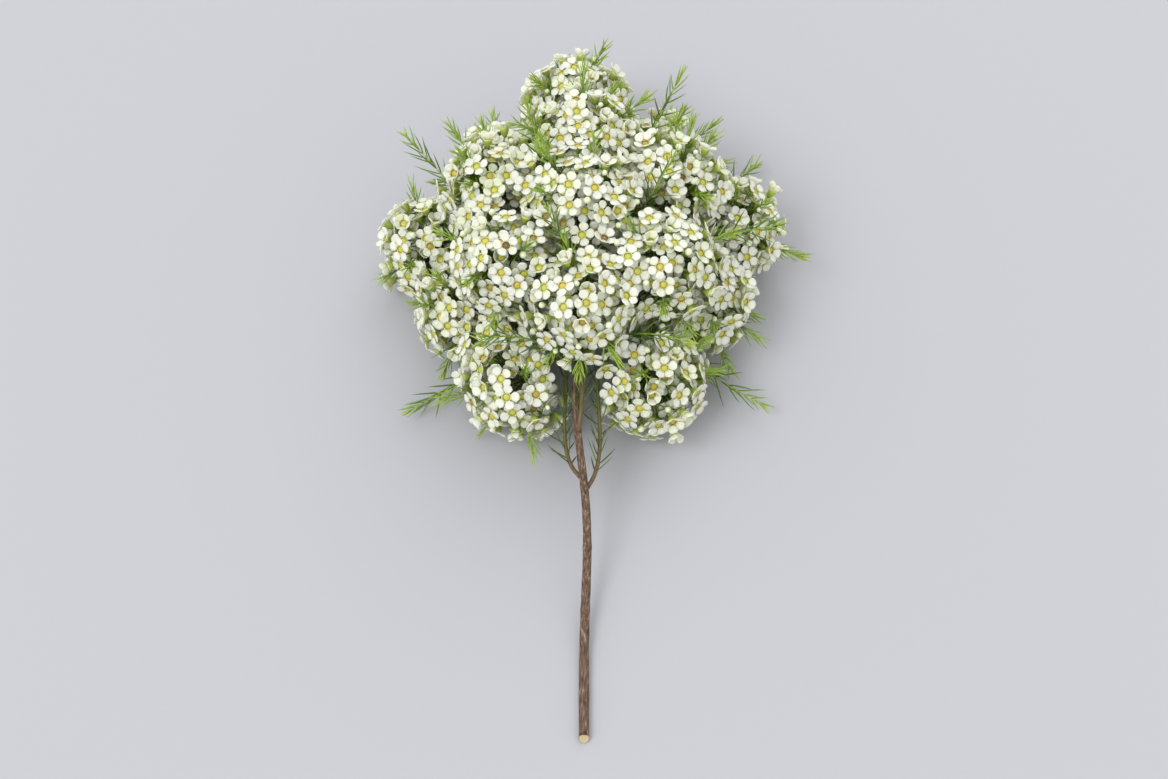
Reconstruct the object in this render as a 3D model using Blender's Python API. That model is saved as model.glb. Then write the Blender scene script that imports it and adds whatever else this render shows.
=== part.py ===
"""A cut waxflower stem laid down on its side.

The woody main stem lies along +Y. The origin is on the surface under the middle of the flat
run at its foot, a little above the cut end. Its upper half carries green side branches with
opposite needle leaves, each ending in a domed head of five-petalled flowers. The stem rests on
the flat run at its foot and on one low head at each side of the spray.
"""

import math
import random
from itertools import chain, combinations

import bmesh
import bpy
from mathutils import Matrix, Vector

MM = 0.001
PLACE_SEED = 7
GROWTH_SEED = 1
TOUCH_GAP = 0.3 * MM
WELD = 0.01 * MM
TINY = 1e-9

# Main stem: a straight run on the surface, then a climb to the middle of the spray.
STEM_FOOT = -20 * MM
STEM_TOP = 377 * MM
STEM_FOOT_RADIUS = 2.9 * MM
STEM_TIP_RADIUS = 1.3 * MM
FLAT_END = 20 * MM
CLIMB_END = 180 * MM
CROWN_HEIGHT = 45 * MM
STEM_SWAY = 5 * MM
SWAY_LENGTH = 220 * MM
CROWN_RISE = 0.06
STEM_SECTIONS = 14
STEM_SIDES = 8

# Envelope: the egg-shaped surface that the centres of the heads settle on.
ENVELOPE_CENTRE = Vector((0, 288, 45)) * MM
ENVELOPE_REACH = Vector((80, 102, 52)) * MM
FREE_HEADS = 13
HEAD_SPACING = 74 * MM
STEM_CLEARANCE = 42 * MM
LOWEST_FREE_HUB = 35 * MM
SETTLING_STEPS = 140
SETTLING_PUSH = 0.25
START_DROP = 0.95
START_JITTER = 2
RESTING_HUBS = (Vector((-98, 306, 30)) * MM, Vector((95, 320, 30)) * MM)
GOLDEN_ANGLE = math.pi * (3 - math.sqrt(5))

# One flower head: a small core of calyx cups with the flowers standing out of it.
HEAD_RADIUS = 29.5 * MM
HEAD_RADIUS_SPREAD = 1.2 * MM
HEAD_CAP_ANGLE = math.radians(119)
FLOWERS_PER_HEAD = 18
CORE_RADIUS = 13.5 * MM
CORE_TAIL = 1.5
HEAD_BACK = CORE_RADIUS * CORE_TAIL + TOUCH_GAP
FACING_LEAD = 14 * MM
FACING_SPREAD = 0.35
HEAD_KEEP_OUT = 34 * MM

# One flower, wider than the real 15 mm bloom so that fewer of them cover the head.
FLOWER_RADIUS = 9.0 * MM
FLOWER_RADIUS_SPREAD = 0.5 * MM
PETALS = 5
PETAL_HALF_ANGLE = math.radians(17)
PETAL_GAP_RADIUS = 0.6
PETAL_LIFT = 1.2 * MM
CUP_DIP = 1.3 * MM
CALYX_HEIGHT = 5.5 * MM
CALYX_NECK_RADIUS = 1.6 * MM
CALYX_DEPTH = 23 * MM
STALK_SIDES = 3
FLOWER_TILT = math.radians(9)
FLOWER_STAND = 1.0 * MM
FLOWER_STEP = 1.2 * MM
FLOWER_STEPS = 6
SAMPLE_STEP = 1.6 * MM
RIM_SAMPLES = 15

# Side branches and their needle leaves.
TWIG_RADIUS = 1.15 * MM
TWIG_TIP_RADIUS = 0.85 * MM
SHOOT_RADIUS = 1.0 * MM
SHOOT_TIP_RADIUS = 0.75 * MM
TWIG_LEAN = math.radians(42)
TWIG_SECTIONS = 6
TWIG_SIDES = 6
TWIG_STARTS = 36
LOWEST_TWIG = 110 * MM
HIGHEST_TWIG = 340 * MM
TWIG_SPACING = 6 * MM
TWIG_HEAD_ROOM = 4 * MM
TWIG_LEAD = 62 * MM
TWIG_LEAD_WEIGHT = 0.05
TWIG_PULL = 0.4
SHOOT_SECTIONS = 5
SHOOT_SIDES = 4
FORK_KNOTS = (1, 2, 3)
SHOOT_REACH = 62 * MM
SHOOT_ROOM = 30.5 * MM
SHOOTS = 11
UPWARD_BONUS = 6 * MM
SHOOT_SPACING = 44 * MM
SHOOT_LEAVE = 0.25
SHOOT_ARRIVE = 0.1
FORK_SHARE = 0.15
GAP_REACH = 76 * MM
LOW_HUB = 40 * MM
LOW_SHOOT = 11 * MM
NEEDLE_ROOM = 31 * MM
NEEDLE_LENGTH = 19 * MM
NEEDLE_RADIUS = 0.6 * MM
NEEDLE_LEAN = math.radians(33)
NEEDLE_LEAN_SPREAD = math.radians(7)
NEEDLE_SHORTEST = 0.8
NEEDLE_LONGEST = 1.1
NEEDLE_TWIST = 0.3
NEEDLE_FOOT_SHARE = 0.12
NEEDLE_TIP_ROOM = 1 * MM
NEEDLE_SIDES = 3
TWIG_NEEDLE_STEP = 27 * MM
SHOOT_NEEDLE_STEP = 9.5 * MM
TWIG_BARE_SHARE = 0.12
SHOOT_BARE_SHARE = 0.5
CLEARANCE = 0.5 * MM
GAP_SAMPLES = 8
SHORTEST_EDGE = 0.003 * MM

BARK = (0.20, 0.115, 0.065, 1)
LEAF_GREEN = (0.16, 0.30, 0.05, 1)
PETAL_WHITE = (0.86, 0.87, 0.80, 1)


def clear_scene():
    for obj in list(bpy.data.objects):
        bpy.data.objects.remove(obj)


def new_collection(name, helper=False):
    collection = bpy.data.collections.new(name)
    bpy.context.scene.collection.children.link(collection)
    collection.hide_render = helper
    return collection


def principled(name, colour, roughness):
    material = bpy.data.materials.new(name)
    material.use_nodes = True
    shader = material.node_tree.nodes["Principled BSDF"]
    shader.inputs["Base Color"].default_value = colour
    shader.inputs["Roughness"].default_value = roughness
    shader.inputs["Metallic"].default_value = 0
    material.diffuse_color = colour
    return material


def smoothstep(value):
    """An even rise from 0 to 1 that starts and ends gently."""
    value = min(max(value, 0), 1)
    return value * value * (3 - 2 * value)


def stem_point(along):
    """Centre of the main stem at this place along Y."""
    foot_height = STEM_FOOT_RADIUS * math.cos(math.pi / STEM_SIDES)
    lift = smoothstep((along - FLAT_END) / (CLIMB_END - FLAT_END))
    sway = STEM_SWAY * lift * math.sin(math.tau * (along - FLAT_END) / SWAY_LENGTH)
    rise = max(along - CLIMB_END, 0) * CROWN_RISE
    return Vector((sway, along, foot_height + (CROWN_HEIGHT - foot_height) * lift + rise))


def stem_radius(along):
    taper = max(along - FLAT_END, 0) / (STEM_TOP - FLAT_END)
    return STEM_FOOT_RADIUS + (STEM_TIP_RADIUS - STEM_FOOT_RADIUS) * taper


def stem_heading(along):
    return (stem_point(along + MM) - stem_point(along - MM)).normalized()


def tip_hub():
    """Centre of the head that the main stem itself carries."""
    return stem_point(STEM_TOP) + stem_heading(STEM_TOP) * HEAD_BACK


def on_envelope(point):
    """The point of the envelope on the same ray from its centre."""
    offset = point - ENVELOPE_CENTRE
    scaled = Vector(offset[axis] / ENVELOPE_REACH[axis] for axis in range(3))
    return ENVELOPE_CENTRE + offset / max(scaled.length, TINY)


def settle_hubs():
    """Centres of the heads: seeded starts that push one another apart over the envelope."""
    rng = random.Random(PLACE_SEED)
    fixed = [*RESTING_HUBS, tip_hub()]
    free = []
    for index in range(FREE_HEADS):
        drop = START_DROP * (index + 0.5) / FREE_HEADS
        ring = math.sqrt(1 - (1 - drop) ** 2)
        turn = index * GOLDEN_ANGLE + rng.uniform(-START_JITTER, START_JITTER)
        ray = Vector((ring * math.cos(turn), ring * math.sin(turn), 1 - drop))
        free.append(on_envelope(ENVELOPE_CENTRE + ray * ENVELOPE_REACH.x))
    for _ in range(SETTLING_STEPS):
        everyone = fixed + free
        moved = []
        for hub in free:
            push = Vector()
            for other in everyone:
                apart = hub - other
                if 0 < apart.length < HEAD_SPACING:
                    push += apart.normalized() * (HEAD_SPACING - apart.length) * SETTLING_PUSH
            target = on_envelope(hub + push)
            sideways = Vector((target.x, 0, target.z - ENVELOPE_CENTRE.z))
            if target.y < ENVELOPE_CENTRE.y and sideways.length < STEM_CLEARANCE:
                target += sideways.normalized() * (STEM_CLEARANCE - sideways.length)
            target.z = max(target.z, LOWEST_FREE_HUB)
            moved.append(target)
        free = moved
    return fixed + free


def facing_of(hub):
    """Direction a head looks in: out from the stem, fanning with its place along the spray."""
    if hub == tip_hub():
        return stem_heading(STEM_TOP)
    root = hub.y - FACING_LEAD
    root -= (root - ENVELOPE_CENTRE.y) * FACING_SPREAD
    return (hub - stem_point(min(root, STEM_TOP))).normalized()


def frame_along(direction, spin=0.0):
    """Rotation that takes +Z to the direction, after a spin about it."""
    turn = direction.to_track_quat("Z", "Y").to_matrix().to_4x4()
    return turn @ Matrix.Rotation(spin, 4, "Z")


def flower_mesh(radius):
    """A five-petalled cup on its calyx and stalk, with its mouth at the origin facing +Z."""
    mesh = bpy.data.meshes.new("flower")
    shape = bmesh.new()
    stalk = CALYX_DEPTH - CALYX_HEIGHT
    bmesh.ops.create_cone(
        shape,
        cap_ends=False,
        segments=STALK_SIDES,
        radius1=0,
        radius2=CALYX_NECK_RADIUS,
        depth=stalk,
    )
    bmesh.ops.translate(shape, verts=shape.verts, vec=(0, 0, -CALYX_HEIGHT - stalk / 2))
    rim = bmesh.ops.create_circle(shape, segments=3 * PETALS, radius=radius)["verts"]
    for vertex in rim:
        place = round(math.atan2(vertex.co.y, vertex.co.x) / math.tau * 3 * PETALS)
        petal, corner = divmod(place, 3)
        turn = math.tau * petal / PETALS
        if corner == 2:
            turn += math.pi / PETALS
            vertex.co *= PETAL_GAP_RADIUS
        else:
            turn += (2 * corner - 1) * PETAL_HALF_ANGLE
            vertex.co.z = PETAL_LIFT
        reach = vertex.co.xy.length
        vertex.co.xy = (reach * math.cos(turn), reach * math.sin(turn))
    open_edges = [edge for edge in shape.edges if len(edge.link_faces) < 2]
    bmesh.ops.bridge_loops(shape, edges=open_edges)
    mouth = [edge for edge in shape.edges if len(edge.link_faces) < 2]
    face = bmesh.ops.contextual_create(shape, geom=mouth)["faces"]
    bmesh.ops.recalc_face_normals(shape, faces=shape.faces)
    bmesh.ops.poke(shape, faces=face, offset=-CUP_DIP)
    bmesh.ops.triangulate(shape, faces=shape.faces)
    shape.to_mesh(mesh)
    shape.free()
    return mesh


def core_mesh():
    """The middle of a head, drawn out to a point where it meets its twig."""
    mesh = bpy.data.meshes.new("core")
    shape = bmesh.new()
    bmesh.ops.create_icosphere(shape, subdivisions=1, radius=CORE_RADIUS)
    tail = min(shape.verts, key=lambda vertex: vertex.co.z)
    tail.co.z = -CORE_RADIUS * CORE_TAIL
    shape.to_mesh(mesh)
    shape.free()
    return mesh


def fuse(body, repeats):
    """Join every object of the collection to the body as one solid, then remove them."""
    union = body.modifiers.new("fuse", "BOOLEAN")
    union.operation = "UNION"
    union.operand_type = "COLLECTION"
    union.collection = repeats
    union.solver = "MANIFOLD"
    apply_modifiers(body)
    for obj in list(repeats.objects):
        bpy.data.objects.remove(obj)
    bpy.data.collections.remove(repeats)
    keep_largest_piece(body.data)


def apply_modifiers(obj):
    """Put the shape that the modifiers give into the object itself."""
    bpy.context.view_layer.update()
    graph = bpy.context.evaluated_depsgraph_get()
    mesh = bpy.data.meshes.new_from_object(obj.evaluated_get(graph))
    obj.modifiers.clear()
    obj.data = mesh


def keep_largest_piece(mesh):
    """Drop loose scrap and the walls of sealed hollows, and leave one closed skin."""
    shape = bmesh.new()
    shape.from_mesh(mesh)
    bmesh.ops.triangulate(shape, faces=shape.faces)
    bmesh.ops.dissolve_degenerate(shape, edges=shape.edges, dist=SHORTEST_EDGE)
    unseen = set(shape.faces)
    pieces = []
    while unseen:
        piece = [unseen.pop()]
        for face in piece:
            for edge in face.edges:
                for other in edge.link_faces:
                    if other in unseen:
                        unseen.discard(other)
                        piece.append(other)
        pieces.append(piece)
    largest = max(pieces, key=len)
    scrap = [face for piece in pieces if piece is not largest for face in piece]
    bmesh.ops.delete(shape, geom=scrap, context="FACES")
    shape.to_mesh(mesh)
    shape.free()


def head_flowers(hub, hubs, green, rng):
    """Placement of each flower on this head, with its radius: crowded ones stand lower."""
    facing = frame_along(facing_of(hub))
    radius = HEAD_RADIUS + rng.uniform(-1, 1) * HEAD_RADIUS_SPREAD
    turn_start = rng.uniform(0, math.tau)
    for index in range(FLOWERS_PER_HEAD):
        height = 1 - (index + 0.5) / FLOWERS_PER_HEAD * (1 - math.cos(HEAD_CAP_ANGLE))
        ring = math.sqrt(1 - height * height)
        turn = turn_start + index * GOLDEN_ANGLE
        ray = facing @ Vector((ring * math.cos(turn), ring * math.sin(turn), height))
        tilt = Vector(rng.uniform(-1, 1) for _ in range(3)) * math.sin(FLOWER_TILT)
        turned = frame_along((ray + tilt).normalized(), rng.uniform(0, math.tau))
        size = FLOWER_RADIUS + rng.uniform(-1, 1) * FLOWER_RADIUS_SPREAD
        top = radius + rng.uniform(-1, 1) * FLOWER_STAND
        for step in range(FLOWER_STEPS):
            stand = top - step * FLOWER_STEP
            place = Matrix.Translation(hub + ray * stand) @ turned
            if has_room(place, size, hub, hubs, green):
                yield place, size
                break


def has_room(place, size, hub, hubs, green):
    """Whether a flower stays on its side of the half-way planes and misses all green pieces."""
    rim = [
        place @ Vector((size * math.cos(turn), size * math.sin(turn), PETAL_LIFT))
        for turn in (math.tau * step / RIM_SAMPLES for step in range(RIM_SAMPLES))
    ]
    for other in hubs:
        if other == hub:
            continue
        between = (other - hub) / 2
        limit = between.length - TOUCH_GAP
        if any((point - hub).dot(between.normalized()) > limit for point in rim):
            return False
    if hub not in RESTING_HUBS and min(point.z for point in rim) < CLEARANCE:
        return False
    local = place.inverted()
    return not any(inside_flower(local @ point, size, margin) for point, margin in green)


def inside_flower(point, size, margin):
    """Whether a point, in the flower's own frame, lies within this margin of it."""
    if not -CALYX_DEPTH - margin < point.z < PETAL_LIFT + margin:
        return False
    if point.z > -CALYX_HEIGHT:
        share = min((point.z + CALYX_HEIGHT) / (CALYX_HEIGHT - CUP_DIP), 1)
        width = CALYX_NECK_RADIUS + (size - CALYX_NECK_RADIUS) * share
    else:
        width = CALYX_NECK_RADIUS
    return point.xy.length < width + margin


def samples_of(pieces, hub):
    """Points along the pieces that come near this head, each with its keep-off distance."""
    points = []
    for left, right, radius in pieces:
        if distance_to_segment(hub, left, right) > HEAD_KEEP_OUT + FLOWER_RADIUS:
            continue
        steps = max(int((right - left).length / SAMPLE_STEP), 1)
        for step in range(steps + 1):
            points.append((left.lerp(right, step / steps), radius + CLEARANCE + SAMPLE_STEP / 4))
    return points


def build_head(name, hub, hubs, pieces, rng, material, part):
    head = bpy.data.objects.new(name, core_mesh())
    head.data.transform(frame_along(facing_of(hub)))
    head.location = hub
    part.objects.link(head)
    flowers = new_collection(name + "_flowers", helper=True)
    for place, size in head_flowers(hub, hubs, samples_of(pieces, hub), rng):
        flower = bpy.data.objects.new(name + "_flower", flower_mesh(size))
        flower.matrix_world = place
        flowers.objects.link(flower)
    fuse(head, flowers)
    head.data.materials.clear()
    head.data.materials.append(material)
    return head


def rest_on_surface(head):
    """Press a low head's petals flat where they reach the surface."""
    shape = bmesh.new()
    shape.from_mesh(head.data)
    floor = Vector((0, 0, -head.location.z))
    cut = bmesh.ops.bisect_plane(
        shape,
        geom=shape.verts[:] + shape.edges[:] + shape.faces[:],
        plane_co=floor,
        plane_no=(0, 0, -1),
        clear_outer=True,
    )
    rim = [item for item in cut["geom_cut"] if isinstance(item, bmesh.types.BMEdge)]
    bmesh.ops.holes_fill(shape, edges=rim)
    bmesh.ops.triangulate(shape, faces=shape.faces)
    shape.to_mesh(head.data)
    shape.free()


def bezier(start, first, second, end, share):
    """Point at this share of a cubic curve."""
    rest = 1 - share
    return (
        start * rest**3
        + first * 3 * rest**2 * share
        + second * 3 * rest * share**2
        + end * share**3
    )


def sweep(name, points, radii, sides, collection, tilt=0.0):
    """A capped tube through the points, as a closed mesh."""
    curve = bpy.data.curves.new(name, "CURVE")
    curve.dimensions = "3D"
    curve.bevel_depth = 1.0
    curve.bevel_resolution = (sides - 4) // 2
    curve.use_fill_caps = True
    spline = curve.splines.new("POLY")
    spline.points.add(len(points) - 1)
    for knot, point, radius in zip(spline.points, points, radii):
        knot.co = (*point, 1)
        knot.radius = radius
        knot.tilt = tilt
    guide = bpy.data.objects.new(name, curve)
    collection.objects.link(guide)
    bpy.context.view_layer.update()
    graph = bpy.context.evaluated_depsgraph_get()
    mesh = bpy.data.meshes.new_from_object(guide.evaluated_get(graph))
    bpy.data.objects.remove(guide)
    shape = bmesh.new()
    shape.from_mesh(mesh)
    bmesh.ops.remove_doubles(shape, verts=shape.verts, dist=WELD)
    bmesh.ops.recalc_face_normals(shape, faces=shape.faces)
    shape.to_mesh(mesh)
    shape.free()
    tube = bpy.data.objects.new(name, mesh)
    collection.objects.link(tube)
    return tube


def stem_lengths():
    """Places of the main stem's sections, the first two at the ends of its flat run."""
    climb = STEM_SECTIONS - 2
    return [STEM_FOOT] + [FLAT_END + (STEM_TOP - FLAT_END) * step / climb for step in range(climb + 1)]


def build_main_stem(material, part):
    lengths = stem_lengths()
    stem = sweep(
        "main_stem",
        [stem_point(length) for length in lengths],
        [stem_radius(length) for length in lengths],
        STEM_SIDES,
        part,
        tilt=math.pi / STEM_SIDES,
    )
    stem.data.materials.append(material)


def twig_path(hub, hubs, earlier):
    """Points of the clearest twig from the side of the main stem to the back of its head."""
    facing = facing_of(hub)
    end = hub - facing * HEAD_BACK
    others = [other for other in hubs if other != hub]
    best = None
    for step in range(TWIG_STARTS):
        along = LOWEST_TWIG + (HIGHEST_TWIG - LOWEST_TWIG) * step / (TWIG_STARTS - 1)
        heading = stem_heading(along)
        outward = hub - stem_point(along)
        reach = outward.dot(heading)
        outward = (outward - heading * reach).normalized()
        lean = heading * math.cos(TWIG_LEAN) + outward * math.sin(TWIG_LEAN)
        start = stem_point(along)
        start += outward * (stem_radius(along) + TOUCH_GAP + TWIG_RADIUS * math.cos(TWIG_LEAN))
        pull = (end - start).length * TWIG_PULL
        bend = (start, start + lean * pull, end - facing * pull, end)
        path = [bezier(*bend, share / (TWIG_SECTIONS - 1)) for share in range(TWIG_SECTIONS)]
        pairs = list(zip(path, path[1:]))
        room = min(distance_to_segment(other, *pair) for other in others for pair in pairs)
        room = min(room - HEAD_KEEP_OUT, TWIG_HEAD_ROOM)
        near = [segment_gap(pair, (left, right)) for left, right, _ in earlier for pair in pairs]
        room += min([*near, TWIG_SPACING])
        score = room - abs(reach - TWIG_LEAD) * TWIG_LEAD_WEIGHT
        if best is None or score > best[0]:
            best = (score, path)
    return best[1]


def distance_to_segment(point, start, end):
    span = end - start
    share = (point - start).dot(span) / max(span.length_squared, TINY**2)
    return (point - (start + span * min(max(share, 0), 1))).length


def segment_gap(first, second):
    """Smallest distance between two segments, from samples along both."""
    gaps = []
    for share in (step / GAP_SAMPLES for step in range(GAP_SAMPLES + 1)):
        gaps.append(distance_to_segment(first[0].lerp(first[1], share), *second))
        gaps.append(distance_to_segment(second[0].lerp(second[1], share), *first))
    return min(gaps)


def stays_clear(start, end, thickness, room, hubs, obstacles):
    """Whether a segment misses every head and every piece of the other nodes."""
    if any(distance_to_segment(hub, start, end) < room for hub in hubs):
        return False
    if min(start.z, end.z) < thickness + CLEARANCE:
        return False
    return all(
        segment_gap((start, end), (left, right)) > thickness + radius + CLEARANCE
        for left, right, radius in obstacles
    )


def gaps_between(hubs):
    """Ways out of the spray: centre, outward direction and room of each gap between heads."""
    gaps = []
    for one, two, three in combinations(hubs, 3):
        first, second = two - one, three - one
        normal = first.cross(second)
        if max(first.length, second.length, (three - two).length) > GAP_REACH:
            continue
        centre = one + (
            normal.cross(first) * second.length_squared + second.cross(normal) * first.length_squared
        ) / (2 * normal.length_squared)
        gaps.append((centre, normal.normalized()))
    low = [hub for hub in hubs if hub.z < LOW_HUB]
    for one, two in combinations(low, 2):
        if (two - one).length < GAP_REACH:
            centre = (one + two) / 2
            centre.z = LOW_SHOOT
            gaps.append((centre, (two - one).cross(Vector((0, 0, 1))).normalized()))
    for centre, normal in gaps:
        away = centre - ENVELOPE_CENTRE
        outward = normal if normal.dot(away) > 0 else -normal
        room = min((hub - centre).length for hub in hubs)
        if room > SHOOT_ROOM:
            yield room, centre, outward


def chosen_gaps(hubs):
    """The widest gaps, those facing up first, kept apart from one another."""
    chosen = []
    ranked = sorted(gaps_between(hubs), key=lambda gap: -gap[0] - gap[2].z * UPWARD_BONUS)
    for _, centre, outward in ranked:
        if len(chosen) < SHOOTS and all((centre - gap[0]).length > SHOOT_SPACING for gap in chosen):
            chosen.append((centre, outward))
    return chosen


def shoot_through(gap, twigs, hubs, stem_pieces):
    """The shortest clear shoot from a fork on some twig out through this gap, with its twig."""
    centre, outward = gap
    best = None
    for number, twig in enumerate(twigs):
        others = list(stem_pieces)
        for other in twigs[:number] + twigs[number + 1 :]:
            others += pieces_of(other, TWIG_RADIUS)
        for knot in FORK_KNOTS:
            fork = twig[knot]
            heading = (twig[knot + 1] - twig[knot - 1]).normalized()
            end = centre + outward * SHOOT_REACH
            length = (end - fork).length
            bend = (
                fork,
                fork + heading * length * SHOOT_LEAVE,
                centre - outward * length * SHOOT_ARRIVE,
                end,
            )
            path = [bezier(*bend, step / (SHOOT_SECTIONS - 1)) for step in range(SHOOT_SECTIONS)]
            pairs = list(zip(path, path[1:]))
            if best is not None and length > best[0]:
                continue
            if all(
                stays_clear(a.lerp(b, FORK_SHARE), b, SHOOT_RADIUS, SHOOT_ROOM, hubs, others)
                for a, b in pairs
            ):
                best = (length, number, path)
    return best[1:] if best else None


def needle_rows(path, start_share, spacing, rng):
    """Root and tip of opposite needles in crossed pairs along a path."""
    lengths = [0.0]
    for left, right in zip(path, path[1:]):
        lengths.append(lengths[-1] + (right - left).length)
    along = lengths[-1] * start_share
    turn = rng.uniform(0, math.tau)
    while along < lengths[-1] - NEEDLE_TIP_ROOM:
        index = max(step for step, length in enumerate(lengths[:-1]) if length <= along)
        share = (along - lengths[index]) / (lengths[index + 1] - lengths[index])
        root = path[index].lerp(path[index + 1], share)
        heading = (path[index + 1] - path[index]).normalized()
        for side in range(2):
            out = frame_along(heading, turn + math.pi * side) @ Vector((1, 0, 0))
            lean = NEEDLE_LEAN + rng.uniform(-1, 1) * NEEDLE_LEAN_SPREAD
            ray = heading * math.cos(lean) + out * math.sin(lean)
            length = NEEDLE_LENGTH * rng.uniform(NEEDLE_SHORTEST, NEEDLE_LONGEST)
            yield root, root + ray * length
        along += spacing
        turn += math.pi / 2 + rng.uniform(-NEEDLE_TWIST, NEEDLE_TWIST)


def add_needle(root, tip, collection):
    """A three-sided needle leaf with its foot sunk in the shoot."""
    mesh = bpy.data.meshes.new("needle")
    shape = bmesh.new()
    length = (tip - root).length
    bmesh.ops.create_cone(
        shape,
        cap_ends=True,
        segments=NEEDLE_SIDES,
        radius1=NEEDLE_RADIUS,
        radius2=0,
        depth=length,
    )
    bmesh.ops.translate(shape, verts=shape.verts, vec=(0, 0, length / 2))
    shape.to_mesh(mesh)
    shape.free()
    needle = bpy.data.objects.new("needle", mesh)
    needle.matrix_world = Matrix.Translation(root) @ frame_along((tip - root).normalized())
    collection.objects.link(needle)


def radii_between(first, last, count):
    return [first + (last - first) * step / (count - 1) for step in range(count)]


def pieces_of(path, radius):
    """Segments of a path, each with its radius."""
    return [(left, right, radius) for left, right in zip(path, path[1:])]


def build_side_branch(name, path, shoots, hubs, obstacles, rng, material, part):
    """A twig with its leafy shoots and needles as one solid; returns its segments."""
    repeats = new_collection(name + "_leaves", helper=True)
    thickness = radii_between(TWIG_RADIUS, TWIG_TIP_RADIUS, len(path))
    twig = sweep(name, path, thickness, TWIG_SIDES, part)
    own = pieces_of(path, TWIG_RADIUS)
    rows = list(needle_rows(path[:-1], TWIG_BARE_SHARE, TWIG_NEEDLE_STEP, rng))
    for shoot in shoots:
        radii = radii_between(SHOOT_RADIUS, SHOOT_TIP_RADIUS, len(shoot))
        sweep(name + "_shoot", shoot, radii, SHOOT_SIDES, repeats)
        own += pieces_of(shoot, SHOOT_RADIUS)
        rows += list(needle_rows(shoot, SHOOT_BARE_SHARE, SHOOT_NEEDLE_STEP, rng))
    for root, tip in rows:
        foot = root.lerp(tip, NEEDLE_FOOT_SHARE)
        if stays_clear(foot, tip, NEEDLE_RADIUS, NEEDLE_ROOM, hubs, obstacles):
            add_needle(root, tip, repeats)
            own.append((root, tip, NEEDLE_RADIUS))
    fuse(twig, repeats)
    twig.data.materials.clear()
    twig.data.materials.append(material)
    return own


def main():
    clear_scene()
    part = new_collection("waxflower_stem")
    bark = principled("bark", BARK, 0.75)
    green = principled("leaf_green", LEAF_GREEN, 0.5)
    white = principled("petal_white", PETAL_WHITE, 0.45)
    rng = random.Random(GROWTH_SEED)
    hubs = settle_hubs()
    build_main_stem(bark, part)
    lengths = stem_lengths()
    stem_pieces = [
        (stem_point(low), stem_point(high), stem_radius(low)) for low, high in zip(lengths, lengths[1:])
    ]

    twigs = []
    for hub in hubs:
        if hub != tip_hub():
            earlier = [piece for twig in twigs for piece in pieces_of(twig, TWIG_RADIUS)]
            twigs.append(twig_path(hub, hubs, earlier))
    shoots = [[] for _ in twigs]
    for gap in chosen_gaps(hubs):
        found = shoot_through(gap, twigs, hubs, stem_pieces)
        if found:
            shoots[found[0]].append(found[1])

    grown = []
    for number, twig in enumerate(twigs):
        others = stem_pieces + grown
        for path in twigs[:number] + twigs[number + 1 :]:
            others += pieces_of(path, TWIG_RADIUS)
        for path in chain(*shoots[:number], *shoots[number + 1 :]):
            others += pieces_of(path, SHOOT_RADIUS)
        name = f"side_branch_{number + 1:02d}"
        grown += build_side_branch(name, twig, shoots[number], hubs, others, rng, green, part)
    for number, hub in enumerate(hubs, 1):
        name = f"flower_head_{number:02d}"
        head = build_head(name, hub, hubs, grown + stem_pieces, rng, white, part)
        if hub in RESTING_HUBS:
            rest_on_surface(head)


main()
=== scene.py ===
"""The looks of a cut waxflower stem that lies on a pale floor.

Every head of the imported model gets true-size five-petalled flowers in three layers, with stalks,
round buds, inner needles and short leafy tips. Every side branch gets its full rows of needles,
and the main stem its woody bark and its pale cut end. Places are worked out by the same rules and
seeds as in the part's source, so that each piece sits on the solid that it dresses.

A vertex tone tells the materials three things. Its red is the tint, age or lime of that copy, its
green is how far along it lies from foot to tip, and its blue is how bud-like or woody it is.
"""

import math
import random
from itertools import chain, combinations

import bmesh
import bpy
from mathutils import Matrix, Vector, kdtree, noise


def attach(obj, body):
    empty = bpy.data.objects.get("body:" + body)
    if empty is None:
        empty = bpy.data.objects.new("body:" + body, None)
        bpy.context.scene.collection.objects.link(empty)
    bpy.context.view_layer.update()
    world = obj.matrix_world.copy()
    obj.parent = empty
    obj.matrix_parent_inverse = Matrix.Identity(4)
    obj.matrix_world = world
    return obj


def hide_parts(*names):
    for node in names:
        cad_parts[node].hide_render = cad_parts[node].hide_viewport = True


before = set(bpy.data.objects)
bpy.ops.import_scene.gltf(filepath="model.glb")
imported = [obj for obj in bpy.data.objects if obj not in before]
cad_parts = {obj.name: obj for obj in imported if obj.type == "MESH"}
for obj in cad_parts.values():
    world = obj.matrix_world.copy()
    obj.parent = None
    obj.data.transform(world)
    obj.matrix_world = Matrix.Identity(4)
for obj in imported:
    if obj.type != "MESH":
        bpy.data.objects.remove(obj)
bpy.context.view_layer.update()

MM = 0.001
TINY = 1e-9
GOLDEN_ANGLE = math.pi * (3 - math.sqrt(5))

# Places shared with the part's source
PLACE_SEED = 7
TOUCH_GAP = 0.3 * MM
CLEARANCE = 0.5 * MM
STEM_FOOT = -20 * MM
STEM_TOP = 377 * MM
STEM_FOOT_RADIUS = 2.9 * MM
STEM_TIP_RADIUS = 1.3 * MM
STEM_SIDES = 8
STEM_SECTIONS = 14
FLAT_END = 20 * MM
CLIMB_END = 180 * MM
CROWN_HEIGHT = 45 * MM
STEM_SWAY = 5 * MM
SWAY_LENGTH = 220 * MM
CROWN_RISE = 0.06
ENVELOPE_CENTRE = Vector((0, 288, 45)) * MM
ENVELOPE_REACH = Vector((80, 102, 52)) * MM
FREE_HEADS = 13
HEAD_SPACING = 74 * MM
STEM_CLEARANCE = 42 * MM
LOWEST_FREE_HUB = 35 * MM
SETTLING_STEPS = 140
SETTLING_PUSH = 0.25
START_DROP = 0.95
START_JITTER = 2
RESTING_HUBS = (Vector((-98, 306, 30)) * MM, Vector((95, 320, 30)) * MM)
HEAD_BACK = 20.25 * MM + TOUCH_GAP
HEAD_KEEP_OUT = 34 * MM
FACING_LEAD = 14 * MM
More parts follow.
